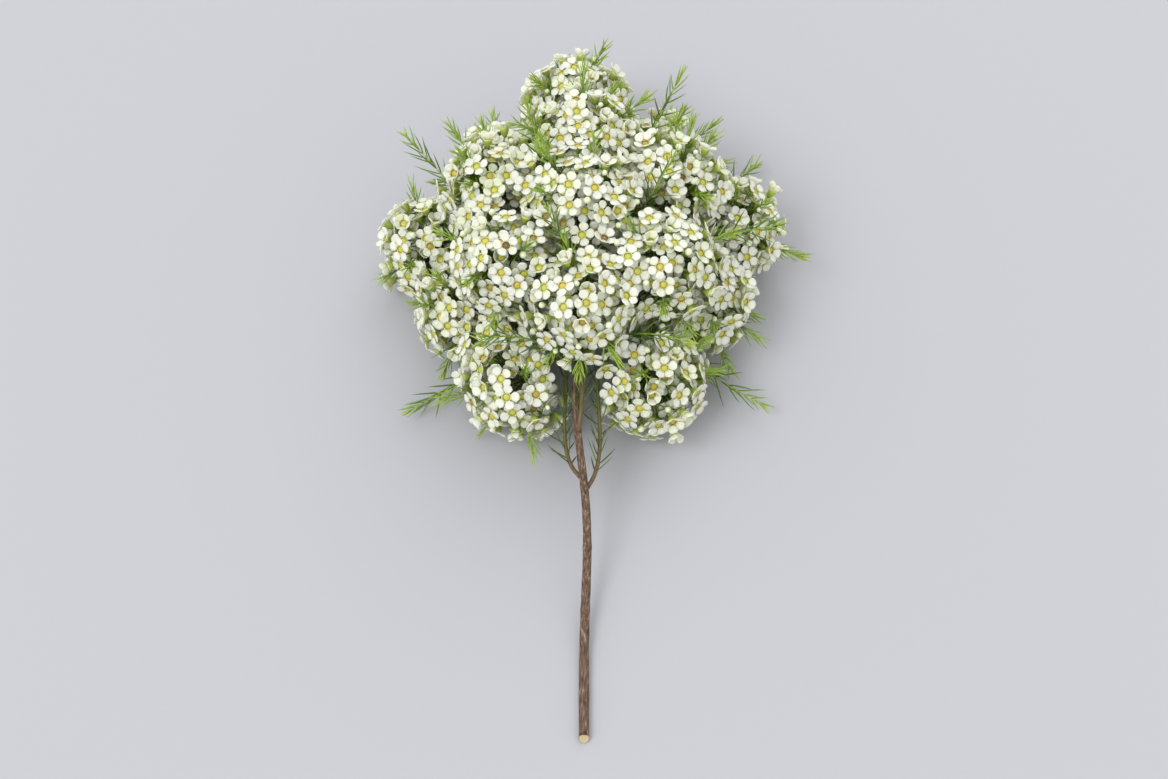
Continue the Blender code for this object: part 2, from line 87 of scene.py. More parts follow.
FACING_SPREAD = 0.35
TWIG_RADIUS = 1.15 * MM
TWIG_TIP_RADIUS = 0.85 * MM
TWIG_LEAN = math.radians(42)
TWIG_SECTIONS = 6
TWIG_STARTS = 36
LOWEST_TWIG = 110 * MM
HIGHEST_TWIG = 340 * MM
TWIG_SPACING = 6 * MM
TWIG_HEAD_ROOM = 4 * MM
TWIG_LEAD = 62 * MM
TWIG_LEAD_WEIGHT = 0.05
TWIG_PULL = 0.4
SHOOT_RADIUS = 1.0 * MM
SHOOT_TIP_RADIUS = 0.75 * MM
SHOOT_SECTIONS = 5
FORK_KNOTS = (1, 2, 3)
SHOOT_REACH = 62 * MM
SHOOT_ROOM = 30.5 * MM
SHOOTS = 11
UPWARD_BONUS = 6 * MM
SHOOT_SPACING = 44 * MM
SHOOT_LEAVE = 0.25
SHOOT_ARRIVE = 0.1
FORK_SHARE = 0.15
GAP_REACH = 76 * MM
GAP_SAMPLES = 8
LOW_HUB = 40 * MM
LOW_SHOOT = 11 * MM

# Cut end of the main stem
CUT_SLANT = 0.7
BARK_THICKNESS = 0.3 * MM

# One flower at its true size, with its mouth at the origin facing +Z
FLOWER_SEED = 11
PETALS = 5
PETAL_GRIDS = {"": 4, "deep_": 3, "deepest_": 2}
PETAL_LENGTH = 5.5 * MM
PETAL_WIDTH = 6.1 * MM
PETAL_THICKNESS = 0.28 * MM
PETAL_CUPPING = (0.35, 0.75)  # mm
PETAL_RIPPLE = 0.35 * MM
RIPPLE_SCALE = 1.4
RIPPLE_STEP = 7.3
PETAL_STACK = 0.1 * MM
PETAL_SHAPES = 5
PETAL_SIZES = (0.92, 1.05)
PETAL_TURN = 0.09
PETAL_LIFTS = {"open": (3, 6, 10, 14), "cupped": (26, 36), "bowl": (55, 66)}  # degrees
PETAL_LIFT_SPREAD = 0.1
KIND_WEIGHTS = (60, 26, 14)
CLAW_WIDTH = 0.78
CLAW_SHARE = 0.6
MOUTH_RADIUS = 2.35 * MM
CUP_SIDES = 10
CUP_PROFILE = (  # radius and height in mm, and the tone from the foot up and in to the disc
    (0, -5.4, 0),
    (0.8, -5.1, 0.05),
    (2.1, -2.7, 0.2),
    (2.8, -0.5, 0.35),
    (3.1, 0.4, 0.5),
    (2.75, 0.45, 0.62),
    (2.25, -0.3, 0.76),
    (1.5, 0.1, 0.9),
    (0, 0.35, 1),
)
CUP_DEPTH = -CUP_PROFILE[0][1] * MM
DISC_AGES = ((0, 0.3), (0.3, 0.7), (0.7, 1))
DISC_AGE_WEIGHTS = (70, 26, 4)
STAMENS = 10
STAMEN_RADIUS = 0.38 * MM
STAMEN_LENGTH = 1.2 * MM
STAMEN_RING = 2.85 * MM
STAMEN_LEAN = math.radians(38)
STAMEN_TONES = (0.55, 0.7)
STYLE_RADIUS = 0.16 * MM
STYLE_LENGTH = 1.7 * MM
STYLE_FOOT = 0.4 * MM
STYLE_TONES = (0.4, 0.6)
SPIKE_SIDES = 3
MERGE_DISTANCE = 0.01 * MM
FLOWER_REACH = 7.7 * MM
FLOWER_ROOM = 6.7 * MM
PETAL_ROOM = 2 * MM
CUP_FOOT_SHARE = 0.1
FLOWER_RIM = 8.4 * MM
FLOWER_HEIGHT = 5 * MM

# Buds and stalks
BUD_RADIUS = 2 * MM
BUD_SEGMENTS = 10
BUD_RINGS = 6
BUD_LOBES = 0.05
BUD_TONE = 0.35
BUD_STAND = 0.9 * MM
BUD_CUP_SIDES = 8
BUD_CUP_RADIUS = 1.75 * MM
BUD_CUP_FOOT_RADIUS = 0.5 * MM
BUD_CUP_DEPTH = 3.4 * MM
BUD_CUP_DROP = 1.4 * MM
BUD_CUP_TONES = (0.05, 0.3)
BUD_SIZES = (0.75, 1.15)
BUD_WHITES = (0.55, 1)
STALK_SIDES = 3
STALK_KNOTS = 4
STALK_RADIUS = 0.5 * MM
STALK_TIP_RADIUS = 0.4 * MM
STALK_LIMES = (0.3, 0.7)
STALK_WOODS = (0.1, 0.1)
STALK_BOWS = (0.6 * MM, 1.2 * MM, 1.8 * MM)
STALK_OVERLAP = 0.3 * MM
SHORTEST_STALK = 2 * MM
LEAF_INDEX = 1  # the leaf finish comes second on a cups piece
BRANCHLET_WIDTH = 1.3
BRANCHLET_TONE = (0.4, 0.65)
HEAD_STALK_WIDTH = 1.7
HEAD_STALK_TONE = (0.3, 0.6)

# Heads: three layers of flowers on a surface that blends neighbouring heads, with buds, needles
# and leafy twigs between them. A range of depths, stands or feet is in mm.
HEAD_RADIUS = 30.5 * MM
HEAD_RADIUS_SPREAD = 0.09
HEAD_LUMP = 0.11
LUMP_SCALE = 1.9
LUMP_SHIFT = 40
SIZE_SHIFT = 90
HEAD_BLEND = 8.5 * MM
FARTHEST_BLEND = 20 * MM
SEARCH_START = 0.8
SEARCH_STEP = 1 * MM
HEAD_CAP_ANGLE = math.radians(122)
FLOWER_TRIES = 150
FLOWER_LAYERS = (  # range of depths and spacing in mm, and the start of its templates' names
    ((-1.6, 1.2), 10.7, ""),
    ((-7.0, -4.0), 8.3, "deep_"),
    ((-12.5, -9.5), 9.0, "deepest_"),
)
FLOWER_TILT = math.radians(19)
FLOWER_SINK = (0, 2, 4)
STRAY_SHARE = 0.06
STRAY_STAND = 4 * MM
GAP_FLOWER_TRIES = 60
GAP_FLOWER_SPREAD = 20 * MM
GAP_FLOWER_DEPTH = (2, 16)
GAP_FLOWER_SPACING = 9.5 * MM
GAP_FLOWER_INSET = 4 * MM
GAP_FLOWER_TURN = 0.5
GAP_FLOWER_TILT = 0.3
GAP_SHARE = 0.7
GAP_TWIG_SHORT = (1, 7)
GAP_TWIG_DEPTH = (0, 9)
GAP_TWIG_SAG = 3 * MM
GAP_TWIG_LEAF_STEP = 2.6 * MM
GAP_TWIG_LIMES = (0.05, 0.25)
BUDS_PER_HEAD = 9
BUD_TRIES = 90
BUD_DEPTH = (-0.5, 3)
BUD_FLOOR_ROOM = 6 * MM
BRANCHLETS = 9
BRANCHLET_REACH = 11 * MM
BRANCHLET_SPREAD = (0.7, 1.2)
BRANCHLET_FOOT = 9 * MM
INNER_LEAVES = 46
INNER_LEAF_FOOT = (7, 13)
INNER_LEAF_WANDER = 4 * MM
INNER_LEAF_DEPTH = (0, 6)
INNER_LEAF_LIMES = (0.2, 0.6)
TIPS_PER_HEAD = 4
TIP_TRIES = 30
TIP_SPACING = 15 * MM
TIP_STAND = (6, 16)
TIP_BEND = 1.5 * MM
TIP_FLOOR_ROOM = 12 * MM
TIP_LEAF_STEP = 3.6 * MM
TIP_LIME = 0.5
LEAFY_TWIG_KNOTS = 12
LEAFY_TWIG_SIDES = 6
LEAFY_TWIG_TAPER = 0.4
LEAFY_TWIG_LIMING = 0.4
LEAFY_TWIG_WOODS = (0.75, 0)
LEAFY_TWIG_START = 0.3
LEAFY_TWIG_LEAF = 0.85
LEAFY_TWIG_TIP_LEAF = 0.65
LEAFY_TWIG_LIME_SPREAD = 0.1

# Needle leaves
LEAF_SEED = 5
LEAF_LENGTH = 18 * MM
LEAF_RADIUS = 0.5 * MM
LEAF_SIDES = 4
LEAF_PROFILE = ((0, 0.55), (0.25, 1), (0.68, 0.85), (1, 0.08))
LEAF_BOWS = (0.2 * MM, 0.9 * MM, 1.6 * MM, 2.4 * MM)
LEAF_FOOT_OFFSET = 0.3 * MM
LEAF_LEAN = math.radians(36)
TIP_LEAN = math.radians(22)
LEAF_LEAN_SPREAD = (-0.22, 0.28)
LEAF_LENGTHS = (0.7, 1.12)
LEAF_STEPS = (0.7, 1.3)
LEAF_TURN_SPREAD = 0.45
YOUNG_REACH = 22 * MM
YOUNG_CROWDING = 0.45
SHOOT_LEAF_STEP = 4.7 * MM
SHOOT_LEAF_START = 0.3
SHOOT_TIP_LEAF = 0.5
TWIG_LEAF_STEP = 5.0 * MM
TWIG_LEAF_START = 0.1
TWIG_TIP_LEAF = 0.9
LEAF_ROOM = 26 * MM
LEAF_CLEAR_SHARE = 0.2
LEAF_LOWEST = 1 * MM
LEAF_FLOOR_ROOM = 3 * MM
LEAF_LIME = 0.18
LEAF_LIME_SPREAD = (-0.08, 0.1)
SHOOT_LIMING = 0.3
YOUTH_LIMING = 0.5

# Side branches and main stem as they are dressed
TWIG_KNOTS = 40
SHOOT_KNOTS = 30
TWIG_SIDES = 8
TWIG_ROOT = 2.2 * MM
TWIG_ROOT_WIDTH = 1.35
TWIG_FOOT_WIDTH = 1.15
TWIG_ROOT_TONE = (0.35, 0, 0.95, 1)
TWIG_LIMES = (0.3, 0.7)
TWIG_WOODS = (0.9, 0.1)
SHOOT_TAPER = 0.45
SHOOT_LIMES = (0.35, 1)
SHOOT_WOODS = (0.7, 0)
GREEN_KNOTS = 30
GREEN_STEP = 1.6 * MM
STEM_RINGS = 150
STEM_RING_SIDES = 20
STEM_SWELL = 0.06
SWELLS_PER_METRE = 90
RIDGE_HEIGHT = 0.14 * MM
RIDGE_SCALE = (900, 60, 900)
SCAR_HEIGHT = 0.2 * MM
SCAR_SPACING = 17 * MM
SCAR_DRIFT = 3 * MM
DRIFTS_PER_METRE = 50
SCAR_SHARPNESS = 14
CUT_NORMAL = -0.7

# Studio
FLOOR_SIZE = 60.0
FLOOR_COLOUR = (0.465, 0.47, 0.512, 1)
SKY_COLOUR = (0.88, 0.875, 0.86, 1)
SKY_STRENGTH = 1.05
SUNS = (  # turn, height and softness in degrees, and strength
    ("key", -55, 52, 28, 1.22),
    ("back", 160, 40, 40, 0.55),
)
CAMERA_LENS = 70
CAMERA_NEAR = 0.05
CAMERA_TURN = math.radians(58)
CAMERA_DISTANCE = 1.37
CAMERA_TARGET = Vector((0, 0.190, 0.045))


def smoothstep(value):
    """An even rise from 0 to 1 that starts and ends gently."""
    value = min(max(value, 0), 1)
    return value * value * (3 - 2 * value)


def stem_point(along):
    """Centre of the main stem at this place along Y."""
    foot_height = STEM_FOOT_RADIUS * math.cos(math.pi / STEM_SIDES)
    lift = smoothstep((along - FLAT_END) / (CLIMB_END - FLAT_END))
    sway = STEM_SWAY * lift * math.sin(math.tau * (along - FLAT_END) / SWAY_LENGTH)
    rise = max(along - CLIMB_END, 0) * CROWN_RISE
    return Vector((sway, along, foot_height + (CROWN_HEIGHT - foot_height) * lift + rise))


def stem_radius(along):
    """Radius of the main stem at this place along Y."""
    taper = max(along - FLAT_END, 0) / (STEM_TOP - FLAT_END)
    return STEM_FOOT_RADIUS + (STEM_TIP_RADIUS - STEM_FOOT_RADIUS) * taper


def stem_heading(along):
    """Direction of the main stem at this place along Y."""
    return (stem_point(along + MM) - stem_point(along - MM)).normalized()


def tip_hub():
    """Centre of the head that the main stem itself carries."""
    return stem_point(STEM_TOP) + stem_heading(STEM_TOP) * HEAD_BACK


def on_envelope(point):
    """The point of the envelope on the same ray from its centre."""
    offset = point - ENVELOPE_CENTRE
    scaled = Vector(offset[axis] / ENVELOPE_REACH[axis] for axis in range(3))
    return ENVELOPE_CENTRE + offset / max(scaled.length, TINY)


def settle_hubs():
    """Centres of the heads: seeded starts that push one another apart over the envelope."""
    rng = random.Random(PLACE_SEED)
    fixed = [*RESTING_HUBS, tip_hub()]
    free = []
    for index in range(FREE_HEADS):
        drop = START_DROP * (index + 0.5) / FREE_HEADS
        ring = math.sqrt(1 - (1 - drop) ** 2)
        turn = index * GOLDEN_ANGLE + rng.uniform(-START_JITTER, START_JITTER)
        ray = Vector((ring * math.cos(turn), ring * math.sin(turn), 1 - drop))
        free.append(on_envelope(ENVELOPE_CENTRE + ray * ENVELOPE_REACH.x))
    for _ in range(SETTLING_STEPS):
        everyone = fixed + free
        moved = []
        for hub in free:
            push = Vector()
            for other in everyone:
                apart = hub - other
                if 0 < apart.length < HEAD_SPACING:
                    push += apart.normalized() * (HEAD_SPACING - apart.length) * SETTLING_PUSH
            target = on_envelope(hub + push)
            sideways = Vector((target.x, 0, target.z - ENVELOPE_CENTRE.z))
            if target.y < ENVELOPE_CENTRE.y and sideways.length < STEM_CLEARANCE:
                target += sideways.normalized() * (STEM_CLEARANCE - sideways.length)
            target.z = max(target.z, LOWEST_FREE_HUB)
            moved.append(target)
        free = moved
    return fixed + free


def facing_of(hub):
    """Direction a head looks in: out from the stem, fanning with its place along the spray."""
    if hub == tip_hub():
        return stem_heading(STEM_TOP)
    root = hub.y - FACING_LEAD
    root -= (root - ENVELOPE_CENTRE.y) * FACING_SPREAD
    return (hub - stem_point(min(root, STEM_TOP))).normalized()


def frame_along(direction, spin=0.0):
    """Rotation that takes +Z to the direction, after a spin about it."""
    turn = direction.to_track_quat("Z", "Y").to_matrix().to_4x4()
    return turn @ Matrix.Rotation(spin, 4, "Z")


def bezier(start, first, second, end, share):
    """Point at this share of a cubic curve."""
    rest = 1 - share
    return (
        start * rest**3
        + first * 3 * rest**2 * share
        + second * 3 * rest * share**2
        + end * share**3
    )


def points_on(bend, count):
    """Points on a cubic curve, at even shares of it."""
    return [bezier(*bend, step / (count - 1)) for step in range(count)]


def distance_to_segment(point, start, end):
    """Distance from a point to the nearest place on a segment."""
    span = end - start
    share = (point - start).dot(span) / max(span.length_squared, TINY**2)
    return (point - (start + span * min(max(share, 0), 1))).length


def segment_gap(first, second):
    """Smallest distance between two segments, from samples along both."""
    gaps = []
    for share in (step / GAP_SAMPLES for step in range(GAP_SAMPLES + 1)):
        gaps.append(distance_to_segment(first[0].lerp(first[1], share), *second))
        gaps.append(distance_to_segment(second[0].lerp(second[1], share), *first))
    return min(gaps)


def pieces_of(path, radius):
    """Segments of a path, each with its radius."""
    return [(left, right, radius) for left, right in zip(path, path[1:])]


def twig_bend(hub, hubs, earlier):
    """Curve of the clearest twig from the side of the main stem to the back of its head."""
    facing = facing_of(hub)
    end = hub - facing * HEAD_BACK
    others = [other for other in hubs if other != hub]
    best = None
    for step in range(TWIG_STARTS):
        along = LOWEST_TWIG + (HIGHEST_TWIG - LOWEST_TWIG) * step / (TWIG_STARTS - 1)
        heading = stem_heading(along)
        outward = hub - stem_point(along)
        reach = outward.dot(heading)
        outward = (outward - heading * reach).normalized()
        lean = heading * math.cos(TWIG_LEAN) + outward * math.sin(TWIG_LEAN)
        start = stem_point(along)
        start += outward * (stem_radius(along) + TOUCH_GAP + TWIG_RADIUS * math.cos(TWIG_LEAN))
        pull = (end - start).length * TWIG_PULL
        bend = (start, start + lean * pull, end - facing * pull, end)
        path = points_on(bend, TWIG_SECTIONS)
        pairs = list(zip(path, path[1:]))
        room = min(distance_to_segment(other, *pair) for other in others for pair in pairs)
        room = min(room - HEAD_KEEP_OUT, TWIG_HEAD_ROOM)
        near = [segment_gap(pair, (left, right)) for left, right, _ in earlier for pair in pairs]
        room += min([*near, TWIG_SPACING])
        score = room - abs(reach - TWIG_LEAD) * TWIG_LEAD_WEIGHT
        if best is None or score > best[0]:
            best = (score, bend)
    return best[1]


def stays_clear(start, end, thickness, room, hubs, obstacles):
    """Whether a segment misses every head and every piece of the other branches."""
    if any(distance_to_segment(hub, start, end) < room for hub in hubs):
        return False
    if min(start.z, end.z) < thickness + CLEARANCE:
        return False
    return all(
        segment_gap((start, end), (left, right)) > thickness + radius + CLEARANCE
        for left, right, radius in obstacles
    )


def gaps_between(hubs):
    """Ways out of the spray: room, centre and outward direction of each gap between heads."""
    gaps = []
    for one, two, three in combinations(hubs, 3):
        first, second = two - one, three - one
        normal = first.cross(second)
        if max(first.length, second.length, (three - two).length) > GAP_REACH:
            continue
        centre = one + (
            normal.cross(first) * second.length_squared + second.cross(normal) * first.length_squared
        ) / (2 * normal.length_squared)
        gaps.append((centre, normal.normalized()))
    low = [hub for hub in hubs if hub.z < LOW_HUB]
    for one, two in combinations(low, 2):
        if (two - one).length < GAP_REACH:
            centre = (one + two) / 2
            centre.z = LOW_SHOOT
            gaps.append((centre, (two - one).cross(Vector((0, 0, 1))).normalized()))
    for centre, normal in gaps:
        away = centre - ENVELOPE_CENTRE
        outward = normal if normal.dot(away) > 0 else -normal
        room = min((hub - centre).length for hub in hubs)
        if room > SHOOT_ROOM:
            yield room, centre, outward


def chosen_gaps(hubs):
    """The widest gaps, those facing up first, kept apart from one another."""
    chosen = []
    ranked = sorted(gaps_between(hubs), key=lambda gap: -gap[0] - gap[2].z * UPWARD_BONUS)
    for _, centre, outward in ranked:
        if len(chosen) < SHOOTS and all((centre - gap[0]).length > SHOOT_SPACING for gap in chosen):
            chosen.append((centre, outward))
    return chosen


def shoot_through(gap, twigs, hubs, stem_pieces):
    """The shortest clear shoot from a fork on some twig out through this gap, with its twig."""
    centre, outward = gap
    best = None
    for number, twig in enumerate(twigs):
        others = list(stem_pieces)
        for other in twigs[:number] + twigs[number + 1 :]:
            others += pieces_of(other, TWIG_RADIUS)
        for knot in FORK_KNOTS:
            fork = twig[knot]
            heading = (twig[knot + 1] - twig[knot - 1]).normalized()
            end = centre + outward * SHOOT_REACH
            length = (end - fork).length
            bend = (
                fork,
                fork + heading * length * SHOOT_LEAVE,
                centre - outward * length * SHOOT_ARRIVE,
                end,
            )
            if best is not None and length > best[0]:
                continue
            path = points_on(bend, SHOOT_SECTIONS)
            if all(
                stays_clear(a.lerp(b, FORK_SHARE), b, SHOOT_RADIUS, SHOOT_ROOM, hubs, others)
                for a, b in zip(path, path[1:])
            ):
                best = (length, number, bend)
    return best[1:] if best else None


def new_shape():
    """An empty shape, with the layer that holds the tones of its vertices."""
    shape = bmesh.new()
    return shape, shape.verts.layers.float_color.new("tone")


def finished(shape, name, finish=None):
    """The shape as a mesh with smooth faces that point outwards, all in one finish if given."""
    mesh = bpy.data.meshes.new(name)
    bmesh.ops.recalc_face_normals(shape, faces=shape.faces)
    for face in shape.faces:
        face.smooth = True
        if finish is not None:
            face.material_index = finish
    shape.to_mesh(mesh)
    shape.free()
    return mesh


def stamp(shape, template, place, red=None, blue=None):
    """Add a placed copy of a template, with the red and blue of its tones set if given."""
    copy = template.copy()
    copy.transform(place)
    tones = copy.attributes["tone"].data
    values = [0.0] * (4 * len(tones))
    tones.foreach_get("color", values)
    if red is not None:
        values[0::4] = [red] * len(tones)
        values[2::4] = [blue] * len(tones)
    tones.foreach_set("color", values)
    shape.from_mesh(copy)
    bpy.data.meshes.remove(copy)


def lerp_list(first, last, count):
    """Evenly spaced values from the first to the last."""
    return [first + (last - first) * step / (count - 1) for step in range(count)]


def tones_along(count, limes=(0, 0), woods=(0, 0)):
    """Tones from foot to tip, with the lime and the woodiness at both ends."""
    shares = lerp_list(0, 1, count)
    return [
        (lime, share, wood, 1)
        for lime, share, wood in zip(lerp_list(*limes, count), shares, lerp_list(*woods, count))
    ]


def tube(points, radii, sides, tones):
    """A closed tube along the points, with a tone at each of them."""
    shape, tone = new_shape()
    headings = [
        (points[min(step + 1, len(points) - 1)] - points[max(step - 1, 0)]).normalized()
        for step in range(len(points))
    ]
    ring = bmesh.ops.create_circle(
        shape,
        segments=sides,
        radius=radii[0],
        matrix=Matrix.Translation(points[0]) @ frame_along(headings[0]),
    )["verts"]
    for vertex in ring:
        vertex[tone] = tones[0]
    edges = shape.edges[:]
    for step in range(1, len(points)):
        grown = bmesh.ops.extrude_edge_only(shape, edges=edges)["geom"]
        ring = [item for item in grown if isinstance(item, bmesh.types.BMVert)]
        edges = [item for item in grown if isinstance(item, bmesh.types.BMEdge)]
        turn = headings[step - 1].rotation_difference(headings[step]).to_matrix().to_4x4()
        move = Matrix.Translation(points[step]) @ turn
        move @= Matrix.Scale(radii[step] / radii[step - 1], 4)
        bmesh.ops.transform(
            shape, matrix=move @ Matrix.Translation(-points[step - 1]), verts=ring
        )
        for vertex in ring:
            vertex[tone] = tones[step]
    bmesh.ops.holes_fill(shape, edges=[edge for edge in shape.edges if edge.is_boundary])
    return shape


def petal_mesh(cupping, seed, grid):
    """One rounded petal with its claw at the origin, reaching along +Y and cupped to +Z."""
    shape, tone = new_shape()
    bmesh.ops.create_grid(shape, x_segments=grid, y_segments=grid, size=1)
    for vertex in shape.verts:
        across, along = vertex.co.xy
        side = across * math.sqrt(1 - along * along / 2)
        reach = along * math.sqrt(1 - across * across / 2)
        share = (reach + 1) / 2
        width = CLAW_WIDTH + (1 - CLAW_WIDTH) * smoothstep(share / CLAW_SHARE)
        spot = Vector((side * RIPPLE_SCALE, reach * RIPPLE_SCALE, seed * RIPPLE_STEP))
        height = (side * side + reach * reach) * cupping + noise.noise(spot) * PETAL_RIPPLE
        vertex.co = (side * width * PETAL_WIDTH / 2, share * PETAL_LENGTH, height)
        vertex[tone] = (0, share, 0, 1)
    bmesh.ops.solidify(shape, geom=shape.faces[:], thickness=PETAL_THICKNESS)
    return finished(shape, "petal")


def corolla_mesh(petals, lift, rng):
    """Five petals round the mouth of a flower, raised by about this angle."""
    shape = bmesh.new()
    for number in range(PETALS):
        turn = math.tau * number / PETALS + rng.uniform(-PETAL_TURN, PETAL_TURN)
        raised = lift + rng.uniform(-1, 1) * PETAL_LIFT_SPREAD
        stack = (number * 2 % PETALS) * PETAL_STACK
        place = Matrix.Rotation(turn, 4, "Z")
        place @= Matrix.Translation((0, MOUTH_RADIUS, stack)) @ Matrix.Rotation(raised, 4, "X")
        place @= Matrix.Scale(rng.uniform(*PETAL_SIZES), 4)
        stamp(shape, rng.choice(petals), place)
    return finished(shape, "corolla")


def cup_mesh(stamens):
    """Calyx, rim and disc turned from one profile, with the ring of stamens and the style."""
    shape, tone = new_shape()
    verts = []
    for radius, height, rise in CUP_PROFILE:
        vertex = shape.verts.new((radius * MM, 0, height * MM))
        vertex[tone] = (0, rise, 0, 1)
        verts.append(vertex)
    edges = [shape.edges.new(pair) for pair in zip(verts, verts[1:])]
    bmesh.ops.spin(
        shape,
        geom=verts + edges,
        axis=(0, 0, 1),
        cent=(0, 0, 0),
        steps=CUP_SIDES,
        angle=math.tau,
        use_merge=True,
    )
    bmesh.ops.remove_doubles(shape, verts=shape.verts, dist=MERGE_DISTANCE)
    for number in range(stamens):
        place = Matrix.Rotation(math.tau * (number + 0.5) / stamens, 4, "Z")
        place @= Matrix.Translation((0, STAMEN_RING, 0)) @ Matrix.Rotation(STAMEN_LEAN, 4, "X")
        add_spike(shape, place, (STAMEN_RADIUS, STAMEN_RADIUS / 2), STAMEN_LENGTH, STAMEN_TONES)
    place = Matrix.Translation((0, 0, -STYLE_FOOT))
    add_spike(shape, place, (STYLE_RADIUS, STYLE_RADIUS), STYLE_LENGTH, STYLE_TONES)
    return finished(shape, "cup")


def add_spike(shape, place, radii, length, rises):
    """A small stamen or style that stands on the place, with the tones of its foot and tip."""
    tone = shape.verts.layers.float_color["tone"]
    place = place @ Matrix.Translation((0, 0, length / 2))
    made = bmesh.ops.create_cone(
        shape,
        cap_ends=True,
        segments=SPIKE_SIDES,
        radius1=radii[0],
        radius2=radii[1],
        depth=length,
        matrix=place,
    )["verts"]
    back = place.inverted()
    for vertex in made:
        vertex[tone] = (0, rises[(back @ vertex.co).z > 0], 0, 1)


def bud_meshes():
    """The round white bud and the small calyx cone that it sits in."""
    ball, tone = new_shape()
    bmesh.ops.create_uvsphere(
        ball, u_segments=BUD_SEGMENTS, v_segments=BUD_RINGS, radius=BUD_RADIUS
    )
    for vertex in ball.verts:
        turn = math.atan2(vertex.co.y, vertex.co.x)
        lobe = 1 + BUD_LOBES * math.cos(PETALS * turn)
        vertex.co.x *= lobe
        vertex.co.y *= lobe
        vertex[tone] = (0, BUD_TONE + vertex.co.z / (3 * BUD_RADIUS), 1, 1)
        vertex.co.z += BUD_STAND
    cone, tone = new_shape()
    made = bmesh.ops.create_cone(
        cone,
        cap_ends=True,
        segments=BUD_CUP_SIDES,
        radius1=BUD_CUP_FOOT_RADIUS,
        radius2=BUD_CUP_RADIUS,
        depth=BUD_CUP_DEPTH,
        matrix=Matrix.Translation((0, 0, -BUD_CUP_DROP)),
    )["verts"]
    for vertex in made:
        vertex[tone] = (0, BUD_CUP_TONES[vertex.co.z > 0], 0, 1)
    return finished(ball, "bud"), finished(cone, "bud_cup")


def stalk_mesh(bow):
    """A thin stalk of unit length along +Z, bowed to one side."""
    shares = lerp_list(0, 1, STALK_KNOTS)
    points = [Vector((bow * math.sin(math.pi * share), 0, share)) for share in shares]
    radii = lerp_list(STALK_RADIUS, STALK_TIP_RADIUS, STALK_KNOTS)
    tones = tones_along(STALK_KNOTS, STALK_LIMES, STALK_WOODS)
    return finished(tube(points, radii, STALK_SIDES, tones), "stalk", LEAF_INDEX)


def leaf_mesh(bow):
    """A needle leaf of unit length along +Z, widest below its middle and curved."""
    points = [Vector((bow * share * share, 0, share)) for share, _ in LEAF_PROFILE]
    radii = [LEAF_RADIUS * width for _, width in LEAF_PROFILE]
    tones = [(0, share, 0, 1) for share, _ in LEAF_PROFILE]
    return finished(tube(points, radii, LEAF_SIDES, tones), "leaf", LEAF_INDEX)


def between(start, end, spin):
    """Placement of a unit-length template from one point to another."""
    span = end - start
    scale = Matrix.Diagonal((1, 1, span.length, 1))
    return Matrix.Translation(start) @ frame_along(span.normalized(), spin) @ scale


def curved_leaf(shape, foot, tip, heading, lime, stock, rng):
    """A needle from foot to tip that curves in towards the heading of its shoot."""
    span = tip - foot
    ray = span.normalized()
    side = heading - ray * heading.dot(ray)
    side = side.normalized() if side.length > TINY else ray.orthogonal().normalized()
    turn = Matrix((side, ray.cross(side), ray)).transposed().to_4x4()
    scale = Matrix.Diagonal((1, 1, span.length, 1))
    place = Matrix.Translation(foot) @ turn @ scale
    stamp(shape, rng.choice(stock["leaves"]), place, lime, 0)


def leaf_rows(points, start_share, spacing, tip_length, rng):
    """Opposite needles in crossed pairs, shorter and closer to the tip of their shoot.

    Each has its foot, its tip, the heading of the shoot there, its share of the way along it,
    and its youth, which grows to 1 at the shoot's tip.
    """
    lengths = [0.0]
    for left, right in zip(points, points[1:]):
        lengths.append(lengths[-1] + (right - left).length)
    total = lengths[-1]
    along = total * start_share
    turn = rng.uniform(0, math.tau)
    while along < total:
        index = max(step for step, length in enumerate(lengths[:-1]) if length <= along)
        share = (along - lengths[index]) / (lengths[index + 1] - lengths[index])
        spine = points[index].lerp(points[index + 1], share)
        heading = (points[index + 1] - points[index]).normalized()
        youth = 1 - smoothstep((total - along) / YOUNG_REACH)
        for side in range(2):
            out = frame_along(heading, turn + math.pi * side) @ Vector((1, 0, 0))
            foot = spine + out * LEAF_FOOT_OFFSET
            lean = LEAF_LEAN + (TIP_LEAN - LEAF_LEAN) * youth + rng.uniform(*LEAF_LEAN_SPREAD)
            ray = heading * math.cos(lean) + out * math.sin(lean)
            length = LEAF_LENGTH * (1 - (1 - tip_length) * youth) * rng.uniform(*LEAF_LENGTHS)
            yield foot, foot + ray * length, heading, along / total, youth
        along += spacing * (1 - YOUNG_CROWDING * youth) * rng.uniform(*LEAF_STEPS)
        turn += math.pi / 2 + rng.uniform(-LEAF_TURN_SPREAD, LEAF_TURN_SPREAD)


def samples_along(points):
    """Evenly spaced points along a path."""
    for left, right in zip(points, points[1:]):
        count = max(int((right - left).length / GREEN_STEP), 1)
        for number in range(count):
            yield left.lerp(right, number / count)


def green_tree(paths):
    """A search tree of points along leaves, twigs and stem, which flowers stay clear of."""
    points = [point for path in paths for point in samples_along(path)]
    tree = kdtree.KDTree(len(points))
    for index, point in enumerate(points):
        tree.insert(point, index)
    tree.balance()
    return tree


def scatter(rng):
    """A random offset of up to 1 along each axis."""
    return Vector(rng.uniform(-1, 1) for _ in range(3))


def wander(place, lane=0):
    """A smooth random value along a line; another lane gives other values."""
    return noise.noise(Vector((0, place, lane)))


def nearest(point, places):
    """The one of the places that is nearest to the point."""
    return min(places, key=lambda place: (place - point).length)


def crowded(spot, others, spacing):
    """Whether a place is closer than the spacing to any of the others."""
    return any((spot - other).length < spacing for other in others)


